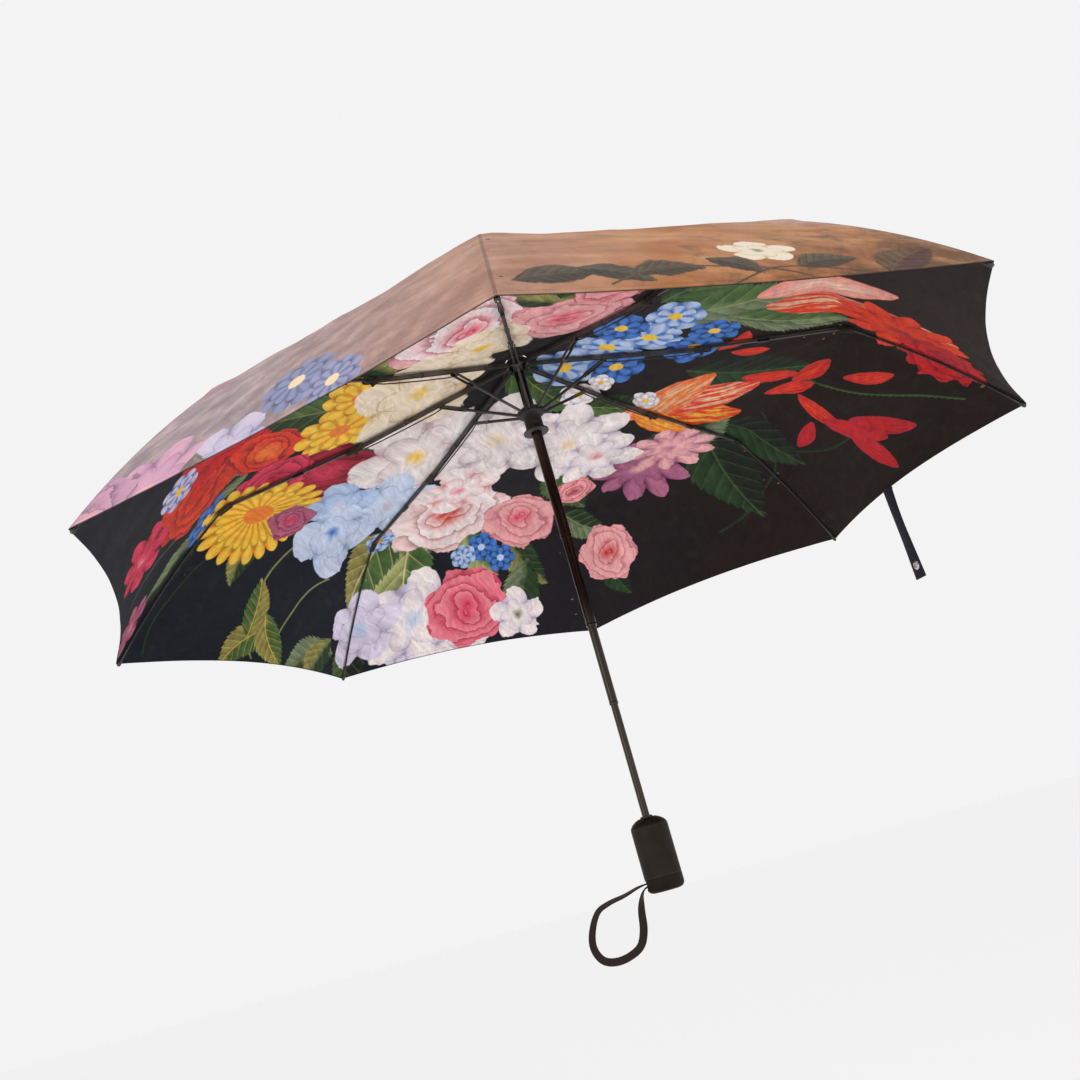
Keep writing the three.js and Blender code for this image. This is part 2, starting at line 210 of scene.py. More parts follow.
def motif_group(name, draw):
    """Group that paints one motif over Base; draw gives its colour and its mask.

    draw gets the group's inputs, the place in the motif (x, y and r, th) and a soft noise.
    """
    tree = bpy.data.node_groups.new(name, "ShaderNodeTree")
    for f in FLOATS:
        tree.interface.new_socket(f, in_out="INPUT", socket_type="NodeSocketFloat")
    for t in TINTS:
        tree.interface.new_socket(t, in_out="INPUT", socket_type="NodeSocketColor")
    tree.interface.new_socket("Base", in_out="INPUT", socket_type="NodeSocketColor")
    tree.interface.new_socket("Colour", in_out="OUTPUT", socket_type="NodeSocketColor")
    gin = tree.nodes.new("NodeGroupInput")
    gout = tree.nodes.new("NodeGroupOutput")
    g = {s.name: Sock(s) for s in gin.outputs if s.name}
    under = tree.nodes.new("ShaderNodeSeparateColor")
    plug(under.inputs[0], g["Base"])
    after = Sock(under.outputs[0]) * TRACE
    co, si = (g["Turn"] + after).op("COSINE"), (g["Turn"] + after).sin()
    du, dv = g["U"] + after - g["CX"], g["V"] + after - g["CY"]
    x = (du * co + dv * si) / g["Size"]
    y = (dv * co - du * si) / g["Size"]
    blur = noise_at(combine(x, y, g["Seed"]), 2.6, 3.0, 0.6) - 0.5
    r = (x * x + y * y).pow(0.5)
    th = y.op("ARCTAN2", x)
    colour, mask = draw(g, x, y, r, th, blur)
    out = mix(mask.clamp(), g["Base"], colour)
    plug(gout.inputs["Colour"], out)
    return tree


def rose(g, x, y, r, th, blur):
    lobes = (th * g["Count"] + g["Seed"] * 3).sin()
    edge = 0.9 + lobes * 0.06 + blur * 0.35
    shells = (r * 3.6 + (th * 2 + r * 6 + g["Seed"]).sin() * 0.33 + blur * 1.6).fract()
    petal = mix(shells.pow(0.55), g["Shade"], g["Light"])
    heart = (1.15 - r * 2.6 + blur * 1.2).clamp() * (1 - shells * 0.35)
    col = mix(heart, petal, g["Heart"])
    col = scaled(col, 1 - (0.32 - shells).clamp() * 1.3)
    rim = (r - edge + 0.16).clamp() * 3.2
    return mix(rim.clamp() * 0.4, col, g["Shade"]), (edge - r) * 45


def bloom(g, x, y, r, th, blur):
    """Large soft petals, few and overlapping, round a small heart."""
    a = th * g["Count"] + g["Seed"] + blur * 2.2
    lobes = (a * 0.5).sin().abs()
    edge = 0.66 + lobes * 0.3 + blur * 0.3
    second = ((th * g["Count"] + g["Seed"] + 1.6) * 0.5).sin().abs() * 0.22 + 0.36 + blur * 0.25
    outer = mix((lobes * 1.3 - 0.15 + blur).clamp(), g["Shade"], g["Light"])
    step = r - second
    inner = mix((1 - (r / second).pow(3.0) * 0.6 + blur * 0.5).clamp(), g["Shade"], g["Light"])
    col = mix((step * 40 + 0.5).clamp(), inner, outer)
    streak = noise_at(combine(th * 2.2, r * 0.8, g["Seed"]), 5.0, 3.0, 0.6)
    col = mix(((streak - 0.5) * 3).clamp() * 0.75, col, g["Shade"])
    cusp = (1 - lobes * 3.2).clamp() * (r * 1.8 - 0.5).clamp()
    col = scaled(col, 1 - cusp * 0.55)
    shadow = ((second - r).abs() * -26 + 1).clamp() * (step * 60 + 0.5).clamp()
    col = scaled(col, 1 - shadow * 0.42)
    col = mix((1.1 - r * 5.2 + blur * 2.4).clamp(), col, g["Heart"])
    return col, (edge - r) * 45


def daisy(g, x, y, r, th, blur):
    p = (th * g["Count"] * 0.5 + g["Seed"]).sin().abs()
    p2 = (th * g["Count"] * 0.5 + g["Seed"] + 1.57).sin().abs()
    edge = 0.74 + p.pow(0.5) * 0.24 + blur * 0.14
    edge2 = 0.46 + p2.pow(0.5) * 0.22 + blur * 0.1
    outer = mix((p * 1.35 - 0.3 + blur * 0.6).clamp(), g["Shade"], g["Light"])
    inner = mix((p2 * 1.5 - 0.35).clamp(), g["Shade"], g["Light"])
    shade = 1 - ((r - edge2) * -9 + 1).clamp() * 0.4
    col = mix(((edge2 - r) * 30).clamp(), scaled(outer, shade), inner)
    col = mix(((0.24 + blur * 0.12 - r) * 30).clamp(), col, g["Heart"])
    return col, (edge - r) * 40


def leaf(g, x, y, r, th, blur):
    half = (1 - x * x).max(-1.0) * (0.5 - x * 0.12).max(0.1)
    teeth = ((x * g["Count"] - y.abs() * 4).fract() - 0.5) * 0.07
    bend = y + x * x * 0.16
    side = bend.abs()
    veins = (((x * 3.6 - side * 3.4).fract() - 0.5).abs() * 10 - 4.2).clamp()
    lit = (bend * 5 + 0.5 + blur * 1.6).clamp()
    col = mix(lit, g["Shade"], g["Light"])
    col = scaled(col, 1.25 - ((x * 3.6 - side * 3.4).fract()) * 0.5 + blur * 1.2)
    col = mix(veins * 0.45, col, g["Heart"])
    col = mix((1 - side * 42).clamp() * 0.8, col, g["Heart"])
    col = mix((blur * 3 - 0.25).clamp() * 0.6, col, g["Shade"])
    return col, (half + teeth + blur * (g["Count"] * 0.02 - 0.1).max(0.05) * 2 - side) * 40


def flame(g, x, y, r, th, blur):
    """A striped petal, pointed at both ends."""
    half = (1 - x * x).max(0.0).pow(0.75) * 0.36 - (x.abs() - 0.96).max(0.0) * 3
    bend = y + x * x * 0.14
    streak = noise_at(combine(x * 0.9, bend * 7, g["Seed"]), 2.4, 3.0, 0.65)
    col = mix(((streak - 0.46) * 8).clamp(), g["Light"], g["Shade"])
    col = mix((0.35 - half + bend.abs()).clamp() * 1.6, col, g["Heart"])
    return col, (half + blur * 0.1 - bend.abs()) * 40


def stem(g, x, y, r, th, blur):
    line = y + x * x * 0.3 + (x * 5 + g["Seed"]).sin() * 0.03
    bend = line.abs()
    ends = ((1 - x.abs()) * 60).clamp()
    hair = (((x * g["Count"] * 6 + line * 22).fract() - 0.5).abs() - 0.38).clamp() * 0.16
    col = mix((line * 30 + 0.5 + blur).clamp(), g["Shade"], g["Light"])
    return col, (0.020 + hair - bend) * 130 * ends


GROUPS = {d: motif_group("print_" + d.__name__, d)
          for d in (rose, bloom, daisy, leaf, flame, stem)}

# colours of the print, linear
WHITE, CREAM, BLUSH = (0.86, 0.80, 0.80), (0.80, 0.62, 0.40), (0.80, 0.42, 0.42)
PINK, HOT, CRIMSON = (0.80, 0.25, 0.32), (0.72, 0.05, 0.12), (0.34, 0.02, 0.04)
RED, SCARLET, MAUVE = (0.60, 0.02, 0.015), (0.75, 0.06, 0.02), (0.42, 0.14, 0.25)
YELLOW, AMBER, ORANGE = (0.85, 0.55, 0.06), (0.72, 0.28, 0.02), (0.80, 0.22, 0.04)
SKY, BLUE, DEEP = (0.45, 0.58, 0.82), (0.06, 0.19, 0.58), (0.02, 0.05, 0.18)
LILAC, GREY = (0.62, 0.56, 0.74), (0.40, 0.40, 0.50)
GREEN, MOSS, OLIVE = (0.06, 0.12, 0.035), (0.02, 0.045, 0.018), (0.26, 0.24, 0.07)
LIME, SAGE, DARK = (0.32, 0.36, 0.14), (0.16, 0.21, 0.12), (0.012, 0.016, 0.012)

FIRE, EMBER = (SCARLET, RED, CRIMSON), (RED, CRIMSON, CRIMSON)
SHADY, DRY = (MOSS, DARK, GREEN), (OLIVE, MOSS, SAGE)
LUSH, PALE = (GREEN, MOSS, SAGE), (SAGE, MOSS, GREEN)
DAY, DUSK = (SKY, BLUE, YELLOW), (BLUE, DEEP, YELLOW)

# the arrangement, back to front: kind, place (two, cm on the flat cloth), size (cm),
# turn (degrees), count of petals or teeth, light, shade, heart
INSIDE = [
    (leaf, 13, -23, 7.5, -60, 9, GREEN, MOSS, OLIVE),
    (leaf, 11, -32, 6.0, 20, 9, SAGE, MOSS, OLIVE),
    (leaf, 18, -14, 6.0, -30, 9, OLIVE, MOSS, GREEN),
    (leaf, 4, -36, 5.0, 70, 7, SAGE, DARK, GREEN),
    (leaf, 10, 24, 9.0, 80, 13, SAGE, GREEN, LIME),
    (leaf, 17, 21, 7.0, 40, 13, *LUSH),
    (leaf, 4, 30, 7.0, 110, 13, SAGE, GREEN, LIME),
    (leaf, 20, 8, 7.5, 75, 11, *DRY),
    (leaf, 21, 2, 5.0, -70, 9, *DRY),
    (stem, 2, 33, 9.0, 100, 3, *PALE),
    (stem, -10, 40, 12.0, 75, 3, GREEN, DARK, GREEN),
    (stem, -31, 30, 12.0, 15, 3, *SHADY),
    (stem, -24, 36, 10.0, 60, 3, *SHADY),
    (stem, -15, -43, 9.0, -110, 6, SAGE, OLIVE, GREEN),
    (stem, -22, -42, 8.0, -95, 6, SAGE, OLIVE, GREEN),
    (stem, 8, -42, 9.0, -60, 5, *PALE),
    (stem, -2, -46, 8.0, -80, 5, *SHADY),
    (leaf, -31, 24, 9.0, 150, 5, *SHADY),
    (leaf, -24, 29, 7.5, 120, 5, *SHADY),
    (leaf, -34, -25, 8.5, -150, 9, LIME, GREEN, CREAM),
    (leaf, -27, -27, 8.0, -115, 9, OLIVE, GREEN, CREAM),
    (leaf, -3, -17, 8.0, -50, 9, *LUSH),
    (leaf, -28, 2, 7.5, 175, 9, *LUSH),
    (leaf, -22, 19, 8.0, 60, 9, *PALE),
    (leaf, 2, -44, 6.0, -80, 9, SAGE, DARK, GREEN),
    (leaf, -30, -44, 6.5, -60, 9, SAGE, MOSS, OLIVE),
    (leaf, -8, 27, 8.0, 100, 9, *SHADY),
    (leaf, -37, -14, 5.0, 170, 9, LIME, GREEN, SAGE),
    (leaf, -41, -8, 5.5, 160, 9, *DRY),
    (leaf, -38, 3, 4.5, 130, 9, SAGE, MOSS, LIME),
    (leaf, -46, -10, 6.0, 200, 9, *PALE),
    (leaf, -46, -30, 5.5, 190, 9, GREEN, DARK, SAGE),
    (leaf, -38, -38, 6.0, -130, 7, GREEN, DARK, SAGE),
    (leaf, -32, -43, 5.0, -100, 7, *DRY),
    (leaf, -17, -49, 5.5, -60, 5, OLIVE, GREEN, YELLOW),
    (leaf, -22, -47, 5.0, -150, 5, OLIVE, GREEN, YELLOW),
    (leaf, -16, -44, 4.2, 60, 5, OLIVE, GREEN, YELLOW),
    (leaf, -8, -40, 4.0, -100, 5, *DRY),
    (leaf, -6, 2, 7.0, 150, 7, GREEN, MOSS, OLIVE),
    (leaf, -12, 10, 6.0, 100, 7, GREEN, MOSS, OLIVE),
    (leaf, -47, 6, 5.0, 160, 7, *SHADY),
    (flame, 8, 38, 10.5, 85, 3, SCARLET, CREAM, RED),
    (flame, 14, 34, 8.0, 60, 3, BLUSH, CREAM, SCARLET),
    (bloom, 6, 42, 8.0, 20, 11, *FIRE),
    (rose, 2, 46, 5.5, 0, 14, *EMBER),
    (flame, -10, 30, 3.6, 95, 3, *FIRE),
    (flame, -13, 33, 3.4, 60, 3, *FIRE),
    (flame, -16, 37, 3.6, 120, 3, *FIRE),
    (flame, -17, 42, 4.4, 80, 3, *EMBER),
    (flame, -19, 45, 4.6, 110, 3, *EMBER),
    (flame, -14, 45, 4.4, 60, 3, *EMBER),
    (flame, -9, 35, 3.2, 30, 3, *FIRE),
    (flame, -16, 19, 8.0, 110, 3, SCARLET, YELLOW, RED),
    (flame, -13, 21, 8.5, 85, 3, SCARLET, CREAM, RED),
    (flame, -12, 17, 8.0, 60, 3, ORANGE, CREAM, SCARLET),
    (flame, -17, 15, 5.5, 140, 3, ORANGE, YELLOW, SCARLET),
    (bloom, -29, 13, 7.5, 60, 9, MAUVE, (0.22, 0.05, 0.13), BLUSH),
    (bloom, -25, 17, 6.0, 20, 9, BLUSH, MAUVE, MAUVE),
    (rose, 12, -37, 7.5, 0, 7, SCARLET, CRIMSON, RED),
    (rose, 17, -32, 6.5, 40, 7, RED, CRIMSON, SCARLET),
    (rose, 9, -29, 5.0, 70, 6, SCARLET, CRIMSON, ORANGE),
    (daisy, 18, -38, 3.0, 0, 7, LILAC, BLUE, YELLOW),
    (daisy, 2, -38, 3.4, 0, 6, *DUSK),
    (daisy, 6, -21, 5.5, 15, 9, YELLOW, AMBER, ORANGE),
    (daisy, 11, -17, 4.5, 30, 8, YELLOW, AMBER, ORANGE),
    (rose, -3, -25, 7.0, 0, 6, CRIMSON, (0.2, 0.01, 0.03), HOT),
    (rose, 1, -29, 5.0, 60, 6, HOT, CRIMSON, CRIMSON),
    (daisy, -5, -34.5, 7.6, 10, 22, YELLOW, AMBER, ORANGE),
    (daisy, -44, -30, 4.0, 30, 6, LILAC, GREY, BLUE),
    (bloom, 20, -7, 8.0, -20, 5, BLUSH, MAUVE, HOT),
    (rose, 17, -4, 8.0, 10, 6, WHITE, PINK, HOT),
    (rose, 13, 6, 7.0, 30, 6, BLUSH, PINK, HOT),
    (rose, 20, 12, 5.5, 10, 6, BLUSH, HOT, CRIMSON),
    (bloom, 5, -11, 9.5, 10, 5, (0.84, 0.72, 0.58), CREAM, YELLOW),
    (bloom, 10, -3, 6.5, 100, 5, (0.84, 0.72, 0.58), CREAM, YELLOW),
    (daisy, -2, 5, 4.0, 0, 6, *DAY),
    (daisy, 2, 10, 4.2, 20, 6, *DAY),
    (daisy, 4, 15, 4.0, 50, 6, *DAY),
    (daisy, 7, 12, 3.4, 80, 6, *DUSK),
    (daisy, -3, 11, 3.6, 15, 6, *DUSK),
    (daisy, 0, 19, 3.4, 35, 6, BLUE, DEEP, AMBER),
    (daisy, 9, 18, 3.6, 5, 6, *DAY),
    (daisy, 4, 22, 3.0, 65, 6, *DUSK),
    (bloom, -9, -15, 10.0, 30, 5, WHITE, (0.66, 0.50, 0.56), YELLOW),
    (bloom, -13, -5, 9.5, 80, 6, WHITE, (0.62, 0.50, 0.58), CREAM),
    (bloom, -18, 4, 9.0, 10, 7, WHITE, (0.60, 0.50, 0.60), CREAM),
    (bloom, -23, 7, 6.5, 60, 6, WHITE, (0.60, 0.50, 0.62), PINK),
    (bloom, -17, -21, 7.5, 0, 5, (0.60, 0.68, 0.86), SKY, LILAC),
    (bloom, -12, -27, 5.5, 60, 4, SKY, (0.30, 0.42, 0.70), LILAC),
    (bloom, -18, -30, 7.0, 80, 4, (0.58, 0.66, 0.86), SKY, BLUE),
    (rose, -26, -15, 9.0, 0, 7, WHITE, BLUSH, SCARLET),
    (bloom, -21, -12, 6.0, 40, 5, WHITE, BLUSH, PINK),
    (rose, -33, -6, 6.4, 30, 6, BLUSH, PINK, HOT),
    (daisy, -36, -13, 2.4, 0, 6, BLUE, DEEP, SKY),
    (daisy, -39, -11, 2.4, 20, 6, BLUE, DEEP, SKY),
    (daisy, -36, -16, 2.0, 40, 6, SKY, BLUE, SKY),
    (rose, -43.5, 6, 5.2, 10, 6, BLUSH, PINK, RED),
    (bloom, -40, -27, 8.5, 30, 5, WHITE, (0.52, 0.46, 0.66), SKY),
    (bloom, -46, -22, 6.5, 70, 5, WHITE, (0.5, 0.45, 0.62), SKY),
    (bloom, -35, -33, 6.5, 10, 5, (0.7, 0.66, 0.84), LILAC, SKY),
    (rose, -44, -19, 7.5, 40, 7, PINK, HOT, HOT),
    (bloom, -49, -12, 5.0, 0, 5, WHITE, LILAC, GREEN),
    (rose, -10, -33, 3.4, 20, 5, MAUVE, CRIMSON, HOT),
    (daisy, -25, -24, 2.2, 10, 6, SKY, BLUE, AMBER),
    (daisy, -8, 6, 2.4, 0, 5, WHITE, LILAC, YELLOW),
    (daisy, -11, 14, 2.0, 30, 5, WHITE, LILAC, YELLOW),
    (daisy, -6, 9, 1.8, 50, 5, WHITE, LILAC, YELLOW),
    (rose, -30, 3, 3.4, 10, 5, BLUSH, HOT, CRIMSON),
    (flame, 0, 24, 2.6, 40, 3, *FIRE),
    (flame, -3, 26, 2.4, 100, 3, *FIRE),
    (flame, -21, 36, 3.0, 20, 3, *EMBER),
    (flame, -7, 41, 3.0, 50, 3, *FIRE),
    (bloom, 16, -46, 5.0, 0, 7, HOT, CRIMSON, PINK),
    (bloom, 4, -52, 4.0, 0, 7, MAUVE, CRIMSON, PINK),
    (bloom, 38, -20, 8.0, 30, 5, LILAC, MAUVE, YELLOW),
    (rose, 44, 6, 8.0, 0, 6, BLUSH, AMBER, CRIMSON),
    (daisy, 34, 4, 6.0, 0, 18, AMBER, ORANGE, CREAM),
    (bloom, 32, 24, 8.0, 0, 5, WHITE, GREY, YELLOW),
    (rose, 30, -28, 7.0, 0, 6, PINK, HOT, CRIMSON),
    (leaf, 38, 14, 9.0, 30, 9, OLIVE, GREEN, SAGE),
    (leaf, 36, -8, 8.0, -20, 9, *LUSH),
]
BROWN = (0.09, 0.07, 0.05), (0.05, 0.04, 0.03), (0.14, 0.1, 0.06)
TWIG = (0.12, 0.08, 0.05), (0.07, 0.05, 0.03), (0.1, 0.1, 0.1)
OUTSIDE = [
    (leaf, 51, 5, 3.8, 100, 15, *BROWN),
    (leaf, 50.5, 10, 3.4, 70, 15, (0.08, 0.07, 0.05), (0.05, 0.04, 0.03), (0.14, 0.1, 0.06)),
    (leaf, 49, 14, 3.4, 110, 15, *BROWN),
    (stem, 48, 17, 9.0, 105, 4, *TWIG),
    (stem, 47, 24, 8.0, 120, 4, *TWIG),
    (leaf, 47, 20, 2.8, 60, 15, *BROWN),
    (leaf, 44, 27, 3.2, 130, 9, (0.10, 0.08, 0.05), (0.06, 0.04, 0.03), (0.14, 0.1, 0.06)),
    (bloom, 43, 22, 3.4, 20, 5, (0.75, 0.68, 0.58), CREAM, OLIVE),
    (leaf, 41, 33, 4.0, 160, 7, (0.12, 0.07, 0.04), (0.08, 0.04, 0.03), (0.16, 0.1, 0.06)),
    (bloom, 44, -33, 6.5, 20, 7, (0.62, 0.34, 0.45), (0.42, 0.22, 0.36), BLUSH),
    (rose, 40, -38, 5.5, 60, 6, (0.55, 0.30, 0.40), (0.36, 0.18, 0.30), BLUSH),
    (bloom, 49, -26, 5.0, 60, 5, (0.58, 0.50, 0.62), (0.36, 0.34, 0.50), (0.3, 0.3, 0.5)),
    (daisy, 47, -18, 4.0, 0, 9, (0.24, 0.26, 0.40), (0.14, 0.16, 0.28), CREAM),
    (daisy, 51, -15, 3.2, 30, 9, (0.30, 0.30, 0.46), (0.16, 0.17, 0.3), CREAM),
    (leaf, 48, -30, 3.4, -40, 9, (0.26, 0.20, 0.16), (0.20, 0.15, 0.14), (0.3, 0.24, 0.2)),
    (leaf, 36, -41, 3.6, -70, 9, (0.30, 0.22, 0.10), (0.20, 0.14, 0.08), (0.3, 0.24, 0.2)),
]


def add_motifs(u, v, base, motifs):
    for kind, cx, cy, size, deg, count, light, shade, heart in motifs:
        n = u.tree.nodes.new("ShaderNodeGroup")
        n.node_tree = GROUPS[kind]
        seed = (cx * 7 + cy * 3) % 9
        values = (cx / 100, cy / 100, size / 100, math.radians(deg), seed, count)
        plug(n.inputs["U"], u)
        plug(n.inputs["V"], v)
        for name, value in zip(FLOATS[2:], values):
            n.inputs[name].default_value = value
        for name, value in zip(TINTS, (light, shade, heart)):
            n.inputs[name].default_value = (*value, 1)
        plug(n.inputs["Base"], base)
        base = Sock(n.outputs["Colour"])
    return base


def principled(name, **sockets):
    m = bpy.data.materials.new(name)
    m.use_nodes = True
    b = m.node_tree.nodes["Principled BSDF"]
    for k, v in sockets.items():
        b.inputs[k.replace("_", " ")].default_value = v
    return m, m.node_tree, b


def bump(b, height, strength, distance):
    n = height.tree.nodes.new("ShaderNodeBump")
    n.inputs["Strength"].default_value = strength
    n.inputs["Distance"].default_value = distance
    plug(n.inputs["Height"], height)
    plug(b.inputs["Normal"], Sock(n.outputs[0]))


def near(motifs, spots):
    """Only the motifs that reach some place of the piece's cloth."""
    return [m for m in motifs
            if np.hypot(spots[:, 0] - m[1] / 100, spots[:, 1] - m[2] / 100).min() < m[3] / 95]


def cloth_material(name, spots):
    """Printed cloth; spots are the places of the piece on the flat cloth."""
    m, tree, b = principled(name, Sheen_Weight=0.04, Sheen_Roughness=0.4,
                            Specular_IOR_Level=0.12)
    u, v = split_uv(tree, "print")
    lateral, hem = split_uv(tree, "edge")
    place = combine(u, v)
    big = noise_at(place, 9.0, 4.0, 0.6)
    mid = noise_at(place, 38.0, 4.0, 0.65)
    fine = noise_at(place, 240.0, 3.0, 0.6)
    # inside: dark ground, motifs, brush strokes
    warm = (v * 1.6 + 0.5 + (big - 0.5) * 0.6).clamp()
    ground = mix(warm, (0.006, 0.009, 0.016), (0.014, 0.008, 0.007))
    ground = mix(((mid - 0.55) * 5).clamp() * 0.5, ground, (0.022, 0.026, 0.014))
    inner = add_motifs(u, v, ground, near(INSIDE, spots))
    swirl = noise_at(place, 14.0, 2.0) * 6.0
    brush = noise_at(combine(u + swirl * 0.02, v * 3.0 - swirl * 0.03), 46.0, 3.0, 0.6)
    inner = scaled(inner, (brush - 0.5) * 0.9 + (big - 0.5) * 0.7 + 0.95)
    # outside: tan and mauve over a faint copy of the inside. The pale wash over the print is
    # painted sheen, light reflected off the outer face; the lit mask turns it tan towards +Y,
    # painted warm light falling on that side, and mauve towards -Y
    lit = (v * 2.6 + 0.62).clamp()
    tan = mix(((big - 0.42) * 4).clamp(), (0.38, 0.15, 0.055), (0.52, 0.26, 0.12))
    umber = ((v - 0.2) * 6 + (u - 0.42) * 3 + (mid - 0.5) * 4).clamp() * 0.85
    tan = mix(umber, tan, (0.10, 0.05, 0.025))
    mauve = mix(((mid - 0.45) * 3.4).clamp(), (0.30, 0.23, 0.25), (0.46, 0.35, 0.34))
    pale = mix(lit, mauve, tan)
    # painted crease shade: stretched noise that darkens and lightens the outside in long streaks,
    # as folds would shade it
    painted_crease_shade = noise_at(combine(u * 3, v), 16.0, 3.0)
    pale = scaled(pale, (mid - 0.5) * 0.5 + (painted_crease_shade - 0.5) * 0.9 + 1.0)
    # painted sheen: the print kept at 35 % under the pale wash, and none of it where front is full
    sheen_washed = mix(0.35, pale, inner)
    front = ((u - 0.22) * 9 + (big - 0.5) * 2).clamp()
    sheen_washed = mix(front, sheen_washed, pale)
    outer = add_motifs(u, v, sheen_washed, near(OUTSIDE, spots))
    attr = tree.nodes.new("ShaderNodeAttribute")
    attr.attribute_name = "side"
    side = Sock(attr.outputs["Fac"])
    col = mix(side, inner, outer)
    # sewn seams along the ribs and a turned, stitched hem
    seam = (1 - ((lateral.abs() - 0.0006).abs() * 900)).clamp()
    fold = (1 - ((hem - 0.0075).abs() * 1400)).clamp()
    stitch = (((u + v) * 420).fract() - 0.35).op("GREATER_THAN", 0.0)
    col = mix(seam * 0.5, col, (0.01, 0.01, 0.01))
    col = mix(fold * stitch * 0.6, col, (0.02, 0.016, 0.015))
    col = mix(((0.0022 - hem) * 900).clamp() * 0.75, col, (0.012, 0.01, 0.012))
    plug(b.inputs["Base Color"], col)
    rough = 0.62 + (fine - 0.5) * 0.2
    plug(b.inputs["Roughness"], rough)
    weave = (u * 9000).sin() * (v * 9000).sin()
    crease = noise_at(place, 24.0, 2.0, 0.45)
    height = weave * 0.05 + crease * 1.6 + fine * 0.05 - seam * 0.6 - fold * 0.5
    bump(b, height, 0.3, 0.0012)
    return m


# ------------------------------ sizes of the CAD model, mm
MM = 0.001
RIBS = 8
HALF = math.pi / RIBS  # half a gore
TIP_R = 490.0
CROWN_Z = 531.0
RUNNER_Z = CROWN_Z - 58.6
RUNNER_PIVOT_R = 12.0
UPPER_BOTTOM, SECOND_BOTTOM, THIRD_BOTTOM = 326, 228, 146  # lower ends of the tubes
# rib line: pivots in the plane of a rib (radius, height)
A = (9.5, CROWN_Z)
E = (192.6, CROWN_Z - 39.4)
G = (348.7, CROWN_Z - 67.5)
TIP = (TIP_R, CROWN_Z - 205)
STRETCH_AT, STRETCH_DROP = 83.8, 5.5  # stretcher pivot: along the inner rib, below its line
OUTER_START = math.radians(37)  # droop of the outer rib at its pivot


# ------------------------------ canopy
def lerp(p, q, t):
    return (p[0] + (q[0] - p[0]) * t, p[1] + (q[1] - p[1]) * t)


_chord = math.atan2(G[1] - TIP[1], TIP[0] - G[0])
_reach = math.dist(G, TIP) / 2 / math.cos(_chord - OUTER_START)
BEND = (G[0] + _reach * math.cos(OUTER_START), G[1] - _reach * math.sin(OUTER_START))


def outer_point(t):
    """Place and direction at share t of the curved outer rib."""
    p, q = lerp(G, BEND, t), lerp(BEND, TIP, t)
    return lerp(p, q, t), math.atan2(q[1] - p[1], q[0] - p[0])


def outer_lifted(t, lift):
    (r, z), d = outer_point(t)
    return (r - math.sin(d) * lift, z + math.cos(d) * lift)


# line of the cloth along a rib: over the crown, above the straight ribs, above the curved one
SEAM = [(r, CROWN_Z + rise) for r, rise in (
    (6.4, 5.1), (13.8, 5.0), (24, 0.9), (60, -7.8), (110, -19.2), (150, -28.1),
    (192.6, -37.3), (240, -44.9), (295, -54.0), (348.7, -63.6))]
SEAM += [outer_lifted(i / 8, 3.9 - 0.9 * i / 8) for i in range(1, 9)]
CLOTH_START, FIRST_JOINT, SECOND_JOINT = 1, 6, 9  # points of SEAM where the pieces part
SEAM_STEPS = 12


def smooth_line(points, n):
    """Catmull-Rom curve through the points, with n steps between two of them."""
    out = []
    for i in range(len(points) - 1):
        p0 = points[max(i - 1, 0)]
        p1, p2 = points[i], points[i + 1]
        p3 = points[min(i + 2, len(points) - 1)]
        for j in range(n):
            t = j / n
            out.append(tuple(
                0.5 * (2 * b + (c - a) * t + (2 * a - 5 * b + 4 * c - d) * t * t
                       + (3 * b - a - 3 * c + d) * t ** 3)
                for a, b, c, d in zip(p0, p1, p2, p3)))
    out.append(points[-1])
    return out


LINE = np.array(smooth_line(SEAM, SEAM_STEPS))
ARC = np.concatenate([[0], np.cumsum(np.hypot(*np.diff(LINE, axis=0).T))])
S_END = ARC[-1]
S_START, S_FIRST, S_SECOND = (float(ARC[i * SEAM_STEPS])
                              for i in (CLOTH_START, FIRST_JOINT, SECOND_JOINT))

FLAT_R = 30  # no sag inside this radius
SAG = 5  # the cloth hangs this far inside the chord between two ribs
HEM_IN, HEM_REACH = 14, 62  # the hem curves in by the first, over a band of the second


def cloth_raw(s, a):
    """Inner face of the smooth cloth at arc length s (mm) along the ribs and azimuth a.

    Also the share w of the way between two ribs, and the radius r.
    """
    r = float(np.interp(s, ARC, LINE[:, 0]))
    z = float(np.interp(s, ARC, LINE[:, 1]))
    step = 2 * math.pi / RIBS
    k = math.floor(a / step + 1e-9)
    w = a / step - k
    hollow = 4 * w * (1 - w)
    share = max(0.0, (r - FLAT_R) / (TIP_R - FLAT_R))
    h = min(max((s - S_END + HEM_REACH) / HEM_REACH, 0.0), 1.0) ** 1.25 * HEM_IN
    scale = 1 - hollow * (h + SAG * share) / TIP_R
    a0, a1 = k * step, (k + 1) * step
    x = (math.cos(a0) * (1 - w) + math.cos(a1) * w) * r * scale
    y = (math.sin(a0) * (1 - w) + math.sin(a1) * w) * r * scale
    rise = hollow * (h * 0.5 - 2.5 * share * (1 - share))
    return Vector((x, y, z + rise)), w, r


def normal_of(surface, s, a, ds, da):
    """Upward normal of a surface(s, a), from points ds (mm) and da (radians) to each side."""
    ps = surface(min(s + ds, S_END), a) - surface(max(s - ds, 0.0), a)
    pa = surface(s, a + da) - surface(s, a - da)
    n = ps.cross(pa).normalized()
    return n if n.z > 0 else -n


